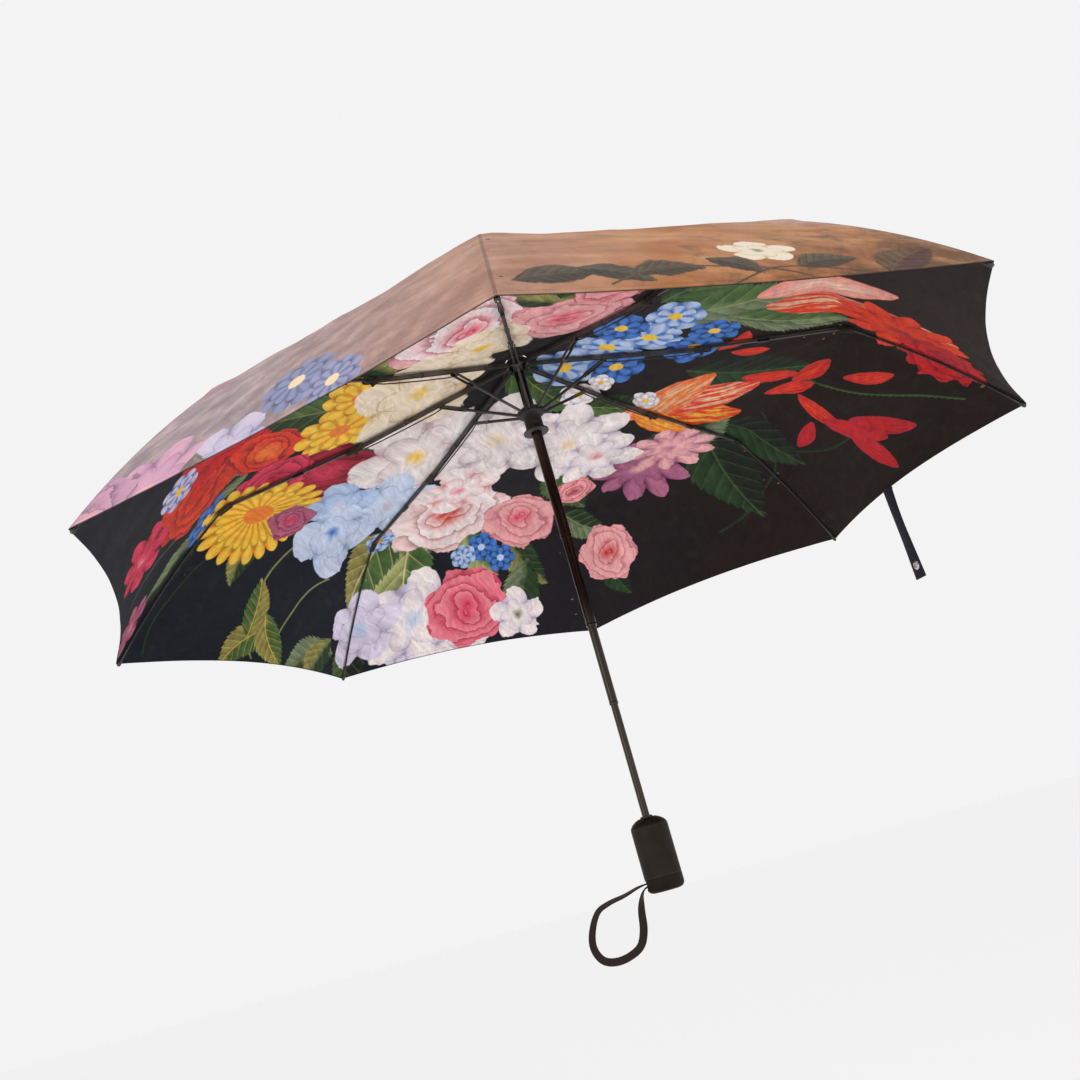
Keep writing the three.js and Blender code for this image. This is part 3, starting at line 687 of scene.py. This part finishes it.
def wrinkle(s, a, w, r):
    """Height of soft folds, in mm: none on the ribs, small puckers beside them."""
    lateral = min(w, 1 - w) * r * 0.765
    free = min(lateral / 14, 1.0)
    u, v = s * math.cos(a), s * math.sin(a)
    soft = noise.noise(Vector((u / 55, v / 55, 3.1))) * 1.5
    soft += noise.noise(Vector((u / 22, v / 22, 8.7))) * 0.6
    pucker = math.sin(s / 3.6 + 2 * noise.noise(Vector((u / 30, v / 30, 1)))) * 0.45
    pucker *= math.exp(-((lateral - 8) / 8) ** 2)
    pull = math.sin(s / 11 + lateral / 17 + 3 * noise.noise(Vector((u / 70, v / 70, 5))))
    pucker += pull * 0.9 * math.exp(-((lateral - 16) / 16) ** 2)
    cross = noise.noise(Vector((s / 9, lateral / 60 + 7 * math.floor(a / 0.785), 2.2))) * 0.9
    cross *= math.exp(-lateral / 26)
    edge = min((S_END - s) / 20, 1.0)
    return free * (soft + pucker + cross) * (0.3 + 0.7 * edge)


def cloth(s, a):
    p, w, r = cloth_raw(s, a)
    smooth = normal_of(lambda *at: cloth_raw(*at)[0], s, a, 1.5, 0.004)
    return p + smooth * wrinkle(s, a, w, r)


THICK = 0.35  # of the cloth
SLACK = 1.02  # a gore cut flat is this much wider than its widest edge to edge
rib_az = [2 * math.pi * k / RIBS for k in range(RIBS)]


def cloth_piece(name, s0, s1, a0, a1, ns, na):
    """Closed piece of cloth between arc lengths s0, s1 and azimuths a0, a1, in ns by na cells."""
    rows = [s0 + (s1 - s0) * i / ns for i in range(ns + 1)]
    cols = [a0 + (a1 - a0) * j / na for j in range(na + 1)]
    verts, normals, uvs, edges = [], [], [], []
    mid = (a0 + a1) / 2
    # an inner and an outer layer, with a rim all round
    for layer in (0, 1):
        for s in rows:
            for a in cols:
                p, n = cloth(s, a), normal_of(cloth, s, a, 1.2, 0.5 / max(s, 20))
                verts.append((p + n * (THICK * layer)) * MM)
                normals.append(n if layer else -n)
                uvs.append((s * math.cos(a) * MM, s * math.sin(a) * MM))
                r = math.hypot(p.x, p.y)
                edges.append((r * math.sin(a - mid) * MM, (S_END - s) * MM))
    n1 = na + 1
    half = (ns + 1) * n1
    faces, sides = [], []
    for layer in (0, 1):
        for i in range(ns):
            for j in range(na):
                q = [layer * half + v for v in
                     (i * n1 + j, (i + 1) * n1 + j, (i + 1) * n1 + j + 1, i * n1 + j + 1)]
                faces.append(q if layer else q[::-1])
                sides.append(float(layer))
    ring = list(range(na)) + [i * n1 + na for i in range(ns)]
    ring += [ns * n1 + j for j in range(na, 0, -1)] + [i * n1 for i in range(ns, 0, -1)]
    for i, v in enumerate(ring):
        w = ring[(i + 1) % len(ring)]
        faces.append((v, w, half + w, half + v))
        sides.append(0.0)
    me = bpy.data.meshes.new(name)
    me.from_pydata(verts, [], faces)
    if me.polygons[ns * na].normal.z < 0:
        me.flip_normals()
    for layer_name, values in (("print", uvs), ("edge", edges)):
        layer = me.uv_layers.new(name=layer_name)
        for loop in me.loops:
            layer.data[loop.index].uv = values[loop.vertex_index]
    att = me.attributes.new("side", "FLOAT", "FACE")
    att.data.foreach_set("value", sides)
    me.shade_smooth()
    me.normals_split_custom_set_from_vertices(normals)
    ob = bpy.data.objects.new(name, me)
    scene.collection.objects.link(ob)
    me.materials.append(cloth_material("cloth_" + name, np.array(uvs)))
    width = (verts[ns * n1] - verts[ns * n1 + na]).length * SLACK
    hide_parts("canopy")
    return ob


for k in range(1, RIBS + 1):
    a = rib_az[k - 1]
    fold = "canopy_fold" if k == 1 else f"inner_hinge_{k}"
    for part, s0, s1, ns, body, joint, keep in (
            ("inner", S_START, S_FIRST, 26, f"inner_{k}", fold, 0.16),
            ("middle", S_FIRST, S_SECOND, 24, f"middle_{k}", f"middle_hinge_{k}", 0.12),
            ("outer", S_SECOND, S_END, 30, f"outer_{k}", f"outer_hinge_{k}", 0.1)):
        ob = cloth_piece(f"canopy_{part}_{k}", s0, s1, a - HALF, a + HALF, ns, 28)
        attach(ob, body)
        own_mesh(ob)

# ------------------------------ the other materials
def object_noise(tree, scale, detail=3.0, rough=0.55, stretch=(1, 1, 1)):
    tc = tree.nodes.new("ShaderNodeTexCoord")
    mp = tree.nodes.new("ShaderNodeMapping")
    mp.inputs["Scale"].default_value = stretch
    tree.links.new(tc.outputs["Object"], mp.inputs[0])
    return noise_at(Sock(mp.outputs[0]), scale, detail, rough)


def plain(name, dark, light, rough, spread, metal, scale, bump_scale, bump_d, spec=0.4,
          stretch=(1, 1, 1), coat=0.0, worn=None):
    """Mottled hard material with fine bumps, and lighter worn edges where asked for."""
    m, tree, b = principled(name, Metallic=metal, Specular_IOR_Level=spec, Coat_Weight=coat,
                            Coat_Roughness=0.2)
    n = object_noise(tree, scale, stretch=stretch)
    col = mix(((n - 0.35) * 3).clamp(), dark, light)
    if worn:
        g = tree.nodes.new("ShaderNodeNewGeometry")
        edge = ((Sock(g.outputs["Pointiness"]) - 0.53) * 9).clamp()
        col = mix(edge * (n * 1.4).clamp(), col, worn)
    plug(b.inputs["Base Color"], col)
    plug(b.inputs["Roughness"], n * spread * 2 + (rough - spread))
    bump(b, object_noise(tree, bump_scale, 2.0), 0.4, bump_d)
    return m


steel = plain("steel_paint", (0.010, 0.011, 0.014), (0.022, 0.023, 0.028), 0.42, 0.1, 0.5, 60,
              900, 0.00005, worn=(0.12, 0.11, 0.10))
plastic = plain("moulded_black", (0.009, 0.009, 0.010), (0.018, 0.018, 0.02), 0.5, 0.1, 0.0, 80,
                1500, 0.00006, worn=(0.05, 0.05, 0.05))
soft = plain("soft_touch", (0.0035, 0.0025, 0.0018), (0.010, 0.0065, 0.004), 0.55, 0.08, 0.0, 45,
             2600, 0.00008, spec=0.1, worn=(0.022, 0.017, 0.012))
tube_paint = plain("shaft_lacquer", (0.012, 0.008, 0.005), (0.030, 0.019, 0.010), 0.2, 0.05, 0.85,
                   70, 700, 0.00003, stretch=(1, 1, 0.08), coat=0.5)
brass = plain("brass_ring", (0.5, 0.32, 0.1), (0.68, 0.45, 0.17), 0.3, 0.08, 1.0, 90, 900, 0.00004)
nickel = plain("snap_nickel", (0.42, 0.42, 0.43), (0.62, 0.62, 0.63), 0.22, 0.08, 1.0, 120, 900,
               0.00004, worn=(0.75, 0.75, 0.75))
rivet = plain("rivet_steel", (0.03, 0.03, 0.034), (0.075, 0.075, 0.08), 0.34, 0.1, 0.9, 90, 900,
              0.00004)


def webbing(name, dark, light, pitch):
    """Woven band; pitch is the width of one thread, in metres."""
    m, tree, b = principled(name, Sheen_Weight=0.1, Roughness=0.85, Specular_IOR_Level=0.2)
    u, v = split_uv(tree, "strap")
    ribs = (u * (2 * math.pi / pitch)).sin()
    rows = (v * (2 * math.pi / (pitch * 0.8)) + ribs * 1.2).sin()
    n = noise_at(combine(u, v), 160.0, 3.0)
    col = mix((rows * 0.3 + 0.4 + (n - 0.5) * 0.8).clamp(), dark, light)
    plug(b.inputs["Base Color"], col)
    bump(b, rows * 0.5 + ribs * 0.3, 0.6, 0.0002)
    return m


loop_mat = webbing("loop_webbing", (0.010, 0.005, 0.004), (0.030, 0.016, 0.013), 0.0011)
tie_mat = webbing("tie_cloth", (0.006, 0.008, 0.014), (0.016, 0.019, 0.030), 0.0007)


def shade(me, sharp=40):
    """Smooth shading, with edges sharper than so many degrees kept."""
    me.shade_smooth()
    me.set_sharp_from_angle(angle=math.radians(sharp))


# looks of the CAD nodes; rods are steel and the rest is moulded plastic
LOOKS = {"upper_tube": tube_paint, "second_tube": tube_paint, "third_tube": tube_paint,
         "lower_tube": tube_paint, "grip": soft, "end_cap": soft, "grip_collar": soft,
         "snap_stud": nickel, "strap_anchor": tie_mat}
RODS = ("inner_rib", "middle_rib", "outer_rib", "stretcher")
for name, ob in NODES.items():
    look = LOOKS.get(name, steel if name.startswith(RODS) else plastic)
    if not ob.material_slots:
        ob.data.materials.append(look)
    for slot in ob.material_slots:
        slot.material = look
    shade(ob.data, sharp=38)

# ------------------------------ mesh helpers
def new_object(name, me, material, body):
    ob = bpy.data.objects.new(name, me)
    scene.collection.objects.link(ob)
    me.materials.append(material)
    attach(ob, body)
    return ob


def circle(n):
    return [2 * math.pi * j / n for j in range(n)]


def sweep_mesh(name, rings, loop=False):
    """Skin over rings of equal count, with flat ends unless the sweep closes on itself."""
    n, count = len(rings[0]), len(rings)
    verts = [v for ring in rings for v in ring]
    faces = []
    for i in range(count if loop else count - 1):
        here, there = i * n, ((i + 1) % count) * n
        for j in range(n):
            k = (j + 1) % n
            faces.append((here + j, here + k, there + k, there + j))
    if not loop:
        faces.append(tuple(range(n))[::-1])
        faces.append(tuple((count - 1) * n + j for j in range(n)))
    me = bpy.data.meshes.new(name)
    me.from_pydata(verts, [], faces)
    bm = bmesh.new()
    bm.from_mesh(me)
    bmesh.ops.recalc_face_normals(bm, faces=bm.faces)
    bm.to_mesh(me)
    bm.free()
    shade(me)
    return me


def wire(name, points, radius, sides=8, loop=False):
    """Round wire through points, in metres."""
    pts = [Vector(p) for p in points]
    rings = []
    for i, p in enumerate(pts):
        a = pts[i - 1] if i or loop else pts[0]
        b = pts[(i + 1) % len(pts)] if i + 1 < len(pts) or loop else pts[-1]
        t = (b - a).normalized()
        x = t.orthogonal() if abs(t.z) > 0.95 else t.cross(Vector((0, 0, 1)))
        x.normalize()
        y = t.cross(x)
        rings.append([p + (x * math.cos(q) + y * math.sin(q)) * radius for q in circle(sides)])
    return sweep_mesh(name, rings, loop=loop)


def joined(name, meshes):
    bm = bmesh.new()
    for m in meshes:
        bm.from_mesh(m)
    me = bpy.data.meshes.new(name)
    bm.to_mesh(me)
    bm.free()
    shade(me)
    return me


def in_rib(k, point, across=0.0):
    """Place in the scene of a (radius, height) point in the plane of rib k, in mm."""
    a = rib_az[k - 1]
    r, z = point
    return Vector((r * math.cos(a) - across * math.sin(a),
                   r * math.sin(a) + across * math.cos(a), z)) * MM


def offset(p, q, along, above):
    """Point at a distance along the line from p to q, and above it."""
    length = math.dist(p, q)
    ux, uz = (q[0] - p[0]) / length, (q[1] - p[1]) / length
    return (p[0] + ux * along - uz * above, p[1] + uz * along + ux * above)


def disc(k, point, across, radius, thick, dome=0.0):
    """Rivet head or plate, turned about the axis across a rib; across is (start, way)."""
    start, way = across
    rings = []
    for t, s in ((0, 1.0), (thick * 0.7, 1.0), (thick, 0.8), (thick + dome, 0.35)):
        rings.append([in_rib(k, (point[0] + math.cos(q) * radius * s,
                                 point[1] + math.sin(q) * radius * s), start + way * t)
                      for q in circle(20)])
    return sweep_mesh("disc", rings)


def plate(k, outline, y0, y1):
    """Flat cheek with the given outline in the plane of a rib."""
    return sweep_mesh("plate", [[in_rib(k, p, y) for p in outline] for y in (y0, y1)])


def pill(p, q, half, n=7):
    """Outline of a bar with round ends from p to q."""
    t = math.atan2(q[1] - p[1], q[0] - p[0])
    out = []
    for centre, start in ((q, t - math.pi / 2), (p, t + math.pi / 2)):
        for j in range(n + 1):
            b = start + math.pi * j / n
            out.append((centre[0] + math.cos(b) * half, centre[1] + math.sin(b) * half))
    return out


def lathe(name, profile, n=64):
    """Closed ring turned about the shaft, from (radius, height) in mm."""
    rings = [[Vector((r * math.cos(q), r * math.sin(q), z)) * MM for r, z in profile]
             for q in circle(n)]
    return sweep_mesh(name, rings, loop=True)


# ------------------------------ hardware of a rib
BOTH = (-1, 1)  # the two sides of a rib
STRETCH_PIVOT = offset(A, E, STRETCH_AT, -STRETCH_DROP)
INNER_LEN, MIDDLE_LEN = math.dist(A, E), math.dist(E, G)


def hanger(k):
    """Bracket that carries the stretcher pivot under the inner rib."""
    arm = pill(offset(A, E, STRETCH_AT, -1.2), STRETCH_PIVOT, 2.0)
    parts = []
    for s in BOTH:
        parts.append(plate(k, arm, s * 1.0, s * 1.7))
        parts.append(disc(k, offset(A, E, STRETCH_AT, -1.6), (s * 1.8, s), 0.9, 0.5, 0.2))
    new_object(f"hanger_{k}", joined("hanger", parts), steel, f"inner_{k}")


def pivot_pins(k):
    pins = [disc(k, STRETCH_PIVOT, (s * 3.1, s), 1.5, 0.5, 0.35) for s in BOTH]
    new_object(f"pivot_pins_{k}", joined("pins", pins), rivet, f"stretch_{k}")


def link_wire(k):
    """Thin wire under the inner rib, from the stretcher pivot to the first joint."""
    route = ((STRETCH_AT, -STRETCH_DROP), (88, -6.6), (96, -7.6), (130, -7.9), (165, -7.6),
             (180, -6.9), (INNER_LEN + 2.5, -5.6))
    path = [in_rib(k, offset(A, E, d, h)) for d, h in route]
    new_object(f"link_wire_{k}", wire("link", path, 0.0007), steel, f"inner_{k}")


def joint_one(k):
    """Two cheeks with lugs and rivets, between the inner and the middle rib."""
    cheek = pill(offset(E, G, -1, -2.2), offset(E, G, 12, -2.4), 3.2)
    lug = pill(offset(E, G, 1, -2.4), offset(E, G, 4, -6.6), 1.7)
    parts = []
    for s in BOTH:
        parts.append(plate(k, cheek, s * 1.35, s * 2.1))
        parts.append(plate(k, lug, s * 1.35, s * 2.0))
        for d, h in ((0.4, -0.8), (9.5, -2.0)):
            parts.append(disc(k, offset(E, G, d, h), (s * 2.1, s), 1.3, 0.5, 0.3))
    new_object(f"joint_one_{k}", joined("cheeks", parts), steel, f"middle_{k}")


def spring_wires(k):
    """Pair of fine wires above the middle rib."""
    route = ((8, -0.6, 2.0), (14, 1.6, 1.6), (60, 0.9, 1.5), (110, 1.7, 1.5), (150, 2.8, 1.6))
    pair = [wire("pair", [in_rib(k, offset(E, G, d, h), s * y) for d, h, y in route], 0.00042, 6)
            for s in BOTH]
    new_object(f"spring_wires_{k}", joined("pair", pair), steel, f"middle_{k}")


def crimp(k):
    """Sleeve that holds the fine wires halfway along the middle rib."""
    sleeve = plate(k, pill(offset(E, G, 66, -0.9), offset(E, G, 76, -0.5), 1.75), -1.75, 1.75)
    new_object(f"crimp_{k}", joined("crimp", [sleeve]), rivet, f"middle_{k}")


def joint_two(k):
    """Two cheeks and rivets, between the middle and the outer rib."""
    cheek = pill(offset(E, G, MIDDLE_LEN - 7, 1.7), outer_lifted(0.035, 1.6), 2.5)
    parts = []
    for s in BOTH:
        parts.append(plate(k, cheek, s * 1.3, s * 2.0))
        parts.append(disc(k, offset(E, G, MIDDLE_LEN - 0.2, 0.9), (s * 2.0, s), 1.35, 0.5, 0.3))
        parts.append(disc(k, outer_lifted(0.03, 1.7), (s * 2.0, s), 1.1, 0.4, 0.2))
    new_object(f"joint_two_{k}", joined("knuckle", parts), steel, f"outer_{k}")


def thread_ties(k):
    """Two turns of thread that hold the cloth to the inner rib."""
    ties = []
    for d, h in ((40, -0.5), (128, -1.6)):
        r, z = offset(A, E, d, h)
        ring = [in_rib(k, (r, z + math.sin(q) * 2.9), math.cos(q) * 2.5) for q in circle(16)]
        ties.append(wire("tie", ring, 0.0003, 6, loop=True))
    new_object(f"thread_ties_{k}", joined("ties", ties), tie_mat, f"inner_{k}")


def tip_bead(k):
    """Brass bead turned about the end of the outer rib, from (along, radius) in mm."""
    p, d = outer_point(1.0)
    rings = []
    for t, rad in ((-2.2, 1.2), (-2.0, 1.75), (-1.2, 1.9), (-0.4, 1.9), (0.4, 1.6), (1.0, 1.0),
                   (1.3, 0.3)):
        r, z = p[0] + math.cos(d) * t, p[1] + math.sin(d) * t
        rings.append([in_rib(k, (r - math.sin(d) * math.sin(q) * rad,
                                 z + math.cos(d) * math.sin(q) * rad), math.cos(q) * rad)
                      for q in circle(14)])
    new_object(f"tip_bead_{k}", sweep_mesh("bead", rings), brass, f"outer_{k}")


for k in range(1, RIBS + 1):
    for make in (hanger, pivot_pins, link_wire, joint_one, spring_wires, crimp, joint_two,
                 thread_ties, tip_bead):
        make(k)

# ------------------------------ hardware of the shaft
# wire rings that the rib and stretcher pivots are threaded on
for name, r, z, body in (("crown_wire", 12.2, CROWN_Z - 0.6, "upper_shaft"),
                         ("runner_wire", RUNNER_PIVOT_R, RUNNER_Z, "runner")):
    ring = [Vector((math.cos(q) * r, math.sin(q) * r, z)) * MM for q in circle(48)]
    new_object(name, wire(name, ring, 0.00045, 8, loop=True), rivet, body)

# rolled lip where each tube ends
for name, r, z, body in (("upper_lip", 6.05, UPPER_BOTTOM, "upper_shaft"),
                         ("second_lip", 5.3, SECOND_BOTTOM, "tube_two"),
                         ("third_lip", 4.55, THIRD_BOTTOM, "tube_three")):
    lip = [(r - 0.55, z - 0.1), (r - 0.1, z - 0.15), (r, z + 0.5), (r, z + 2.2),
           (r - 0.2, z + 2.8), (r - 0.55, z + 2.8)]
    new_object(name, lathe(name, lip), tube_paint, body)

# ribbed neck of the runner
NECK_Z, NECK_PITCH = RUNNER_Z - 16.2, 1.7
for i in range(5):
    z = NECK_Z + i * NECK_PITCH
    rib = [(8.7, z), (9.7, z + 0.25), (9.7, z + 0.6), (8.7, z + 0.9)]
    new_object(f"runner_rib_{i}", lathe("rr", rib), plastic, "runner")

# parting lines sunk in the grip, and the ferrule that the lowest tube comes out of
for name, z in (("grip_line_low", -20.15), ("grip_line_high", 25.15)):
    line = [(17.4, z - 0.11), (17.9, z - 0.11), (17.9, z + 0.11), (17.4, z + 0.11)]
    new_object(name, lathe(name, line), plastic, "handle")
collar = [(3.7, 33.9), (6.2, 33.9), (6.0, 35.2), (5.0, 35.8), (3.7, 35.8)]
new_object("ferrule", lathe("ferrule", collar), plastic, "handle")

# ------------------------------ straps, in metres
# section of webbing with rounded long edges, in half widths and half thicknesses, and the share
# of the width that each of its points has in the material
SECTION = ((-1, -0.4), (-0.93, -1), (0.93, -1), (1, -0.4), (1, 0.4), (0.93, 1), (-0.93, 1),
           (-1, 0.4))
SHARES = (0, 0.07, 0.93, 1, 1, 0.93, 0.07, 0)


def ribbon(name, stations, width, thick, material, body, node):
    """Webbing through stations of (centre, direction of the width), in place of a CAD node."""
    rings, along = [], [0.0]
    for i, (c, w) in enumerate(stations):
        a = stations[max(i - 1, 0)][0]
        b = stations[min(i + 1, len(stations) - 1)][0]
        t = (b - a).normalized()
        w = (w - t * w.dot(t)).normalized()
        n = t.cross(w)
        rings.append([c + w * (x * width / 2) + n * (y * thick / 2) for x, y in SECTION])
        if i:
            along.append(along[-1] + (c - a).length)
    me = sweep_mesh(name, rings)
    uv = me.uv_layers.new(name="strap")
    for loop in me.loops:
        i, j = divmod(loop.vertex_index, len(SECTION))
        uv.data[loop.index].uv = (along[i], SHARES[j] * width)
    ob = new_object(name, me, material, body)
    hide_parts(node)


# wrist loop, in the plane of the shaft and -Y: (y, z, twist) in mm and radians
LOOP = [(-14.2, -24.0, 0), (-19, -24.0, 0), (-27, -25.2, 0.15), (-40.5, -28.8, 0.3),
        (-56, -31.5, 0.45), (-68.2, -36.6, 0.6), (-77, -50.1, 0.85), (-80.5, -64.7, 1.05),
        (-76, -77.0, 1.15), (-65.8, -82.2, 1.15), (-51.7, -81.5, 1.1), (-38, -75.2, 1.1),
        (-31.2, -62.2, 1.15), (-28.2, -45, 0.9), (-24.2, -33, 0.25), (-19.6, -27.6, 0),
        (-14.2, -26.6, 0)]
path = smooth_line(LOOP, 8)
stations = []
for i, (y, z, twist) in enumerate(path):
    a, b = path[max(i - 1, 0)], path[min(i + 1, len(path) - 1)]
    t = Vector((0, b[0] - a[0], b[1] - a[1])).normalized()
    side = Vector((0, -t.z, t.y))
    stations.append((Vector((0, y, z)) * MM,
                     Vector((math.cos(twist), 0, 0)) + side * math.sin(twist)))
ribbon("wrist_webbing", stations, 0.008, 0.0014, loop_mat, "wrist_loop",
       "wrist_strap")

# closure strap, hanging from the hem between ribs 3 and 4 with a slight sway and twist
TIE_W, TIE_LAP, TIE_END_GAP, TIE_STEPS = 0.017, 0.0034, 0.003, 30
hem_dir = Vector((math.cos(HALF), math.sin(HALF), 0))
face = Vector((math.sin(HALF), -math.cos(HALF), 0))
lo, hi = (Vector(v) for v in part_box("closure_strap"))
top = Vector(((lo.x + hi.x) / 2, (lo.y + hi.y) / 2, hi.z))
length = hi.z - lo.z + TIE_LAP - TIE_END_GAP
stations = []
for i in range(TIE_STEPS + 1):
    t = i / TIE_STEPS
    sway = math.sin(t * 2.6) * 0.0012 + math.sin(t * 7) * 0.0003
    stations.append((top + face * sway + Vector((0, 0, TIE_LAP - t * length)),
                     (hem_dir + face * 0.12 * math.sin(t * 4)).normalized()))
ribbon("tie_band", stations, TIE_W, 0.0011, tie_mat, "tie_strap", "closure_strap")

# its end, folded over and sewn to the hem
END_H = 0.0044
lo, hi = (Vector(v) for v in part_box("strap_anchor"))
sewn = (lo + hi) / 2
folded = [(sewn + Vector((0, 0, (i / 4 - 0.5) * END_H)) + face * 0.0002 * math.sin(i * 0.8),
           hem_dir) for i in range(5)]
ribbon("tie_end", folded, 0.0178, 0.001, tie_mat, "strap_end", "strap_anchor")

# stitches along both long edges of the band, and in a cross over the sewn end
STITCH, THREAD_R = 0.0006, 0.00014  # half a stitch, radius of the thread
upward = Vector((0, 0, STITCH))
edge_stitches = []
for i in range(1, TIE_STEPS * 2 - 1):
    t = i / 2
    j = min(int(t), TIE_STEPS - 1)
    c = stations[j][0].lerp(stations[j + 1][0], t - j)
    w = stations[j][1]
    for s in BOTH:
        p = c + w * (s * 0.0070) + face * 0.00062
        points = [p + upward, p + face * 0.00012, p - upward]
        edge_stitches.append(wire("st", points, THREAD_R, 5))
thread = webbing("thread", (0.03, 0.035, 0.05), (0.06, 0.065, 0.09), 0.0006)
new_object("tie_stitches", joined("stitches", edge_stitches), thread, "tie_strap")
cross_stitches = []
for i in range(9):
    t = i / 8 - 0.5
    for s in BOTH:
        p = sewn + hem_dir * (t * 0.014) + face * 0.0006 + Vector((0, 0, s * t * 0.003))
        cross_stitches.append(wire("st", [p - hem_dir * STITCH, p + hem_dir * STITCH],
                                   THREAD_R, 5))
new_object("tie_end_stitches", joined("cross", cross_stitches), thread, "strap_end")

# ------------------------------ floor
bpy.ops.mesh.primitive_plane_add(size=60, location=(0, 0, -1.05))
floor = bpy.context.object
floor.name = "floor"
fm, ft, fb = principled("floor", Roughness=0.9)
fcol = mix(object_noise(ft, 3.0) * 0.04, (0.975, 0.975, 0.975), (0.95, 0.95, 0.95))
plug(fb.inputs["Base Color"], fcol)
floor.data.materials.append(fm)
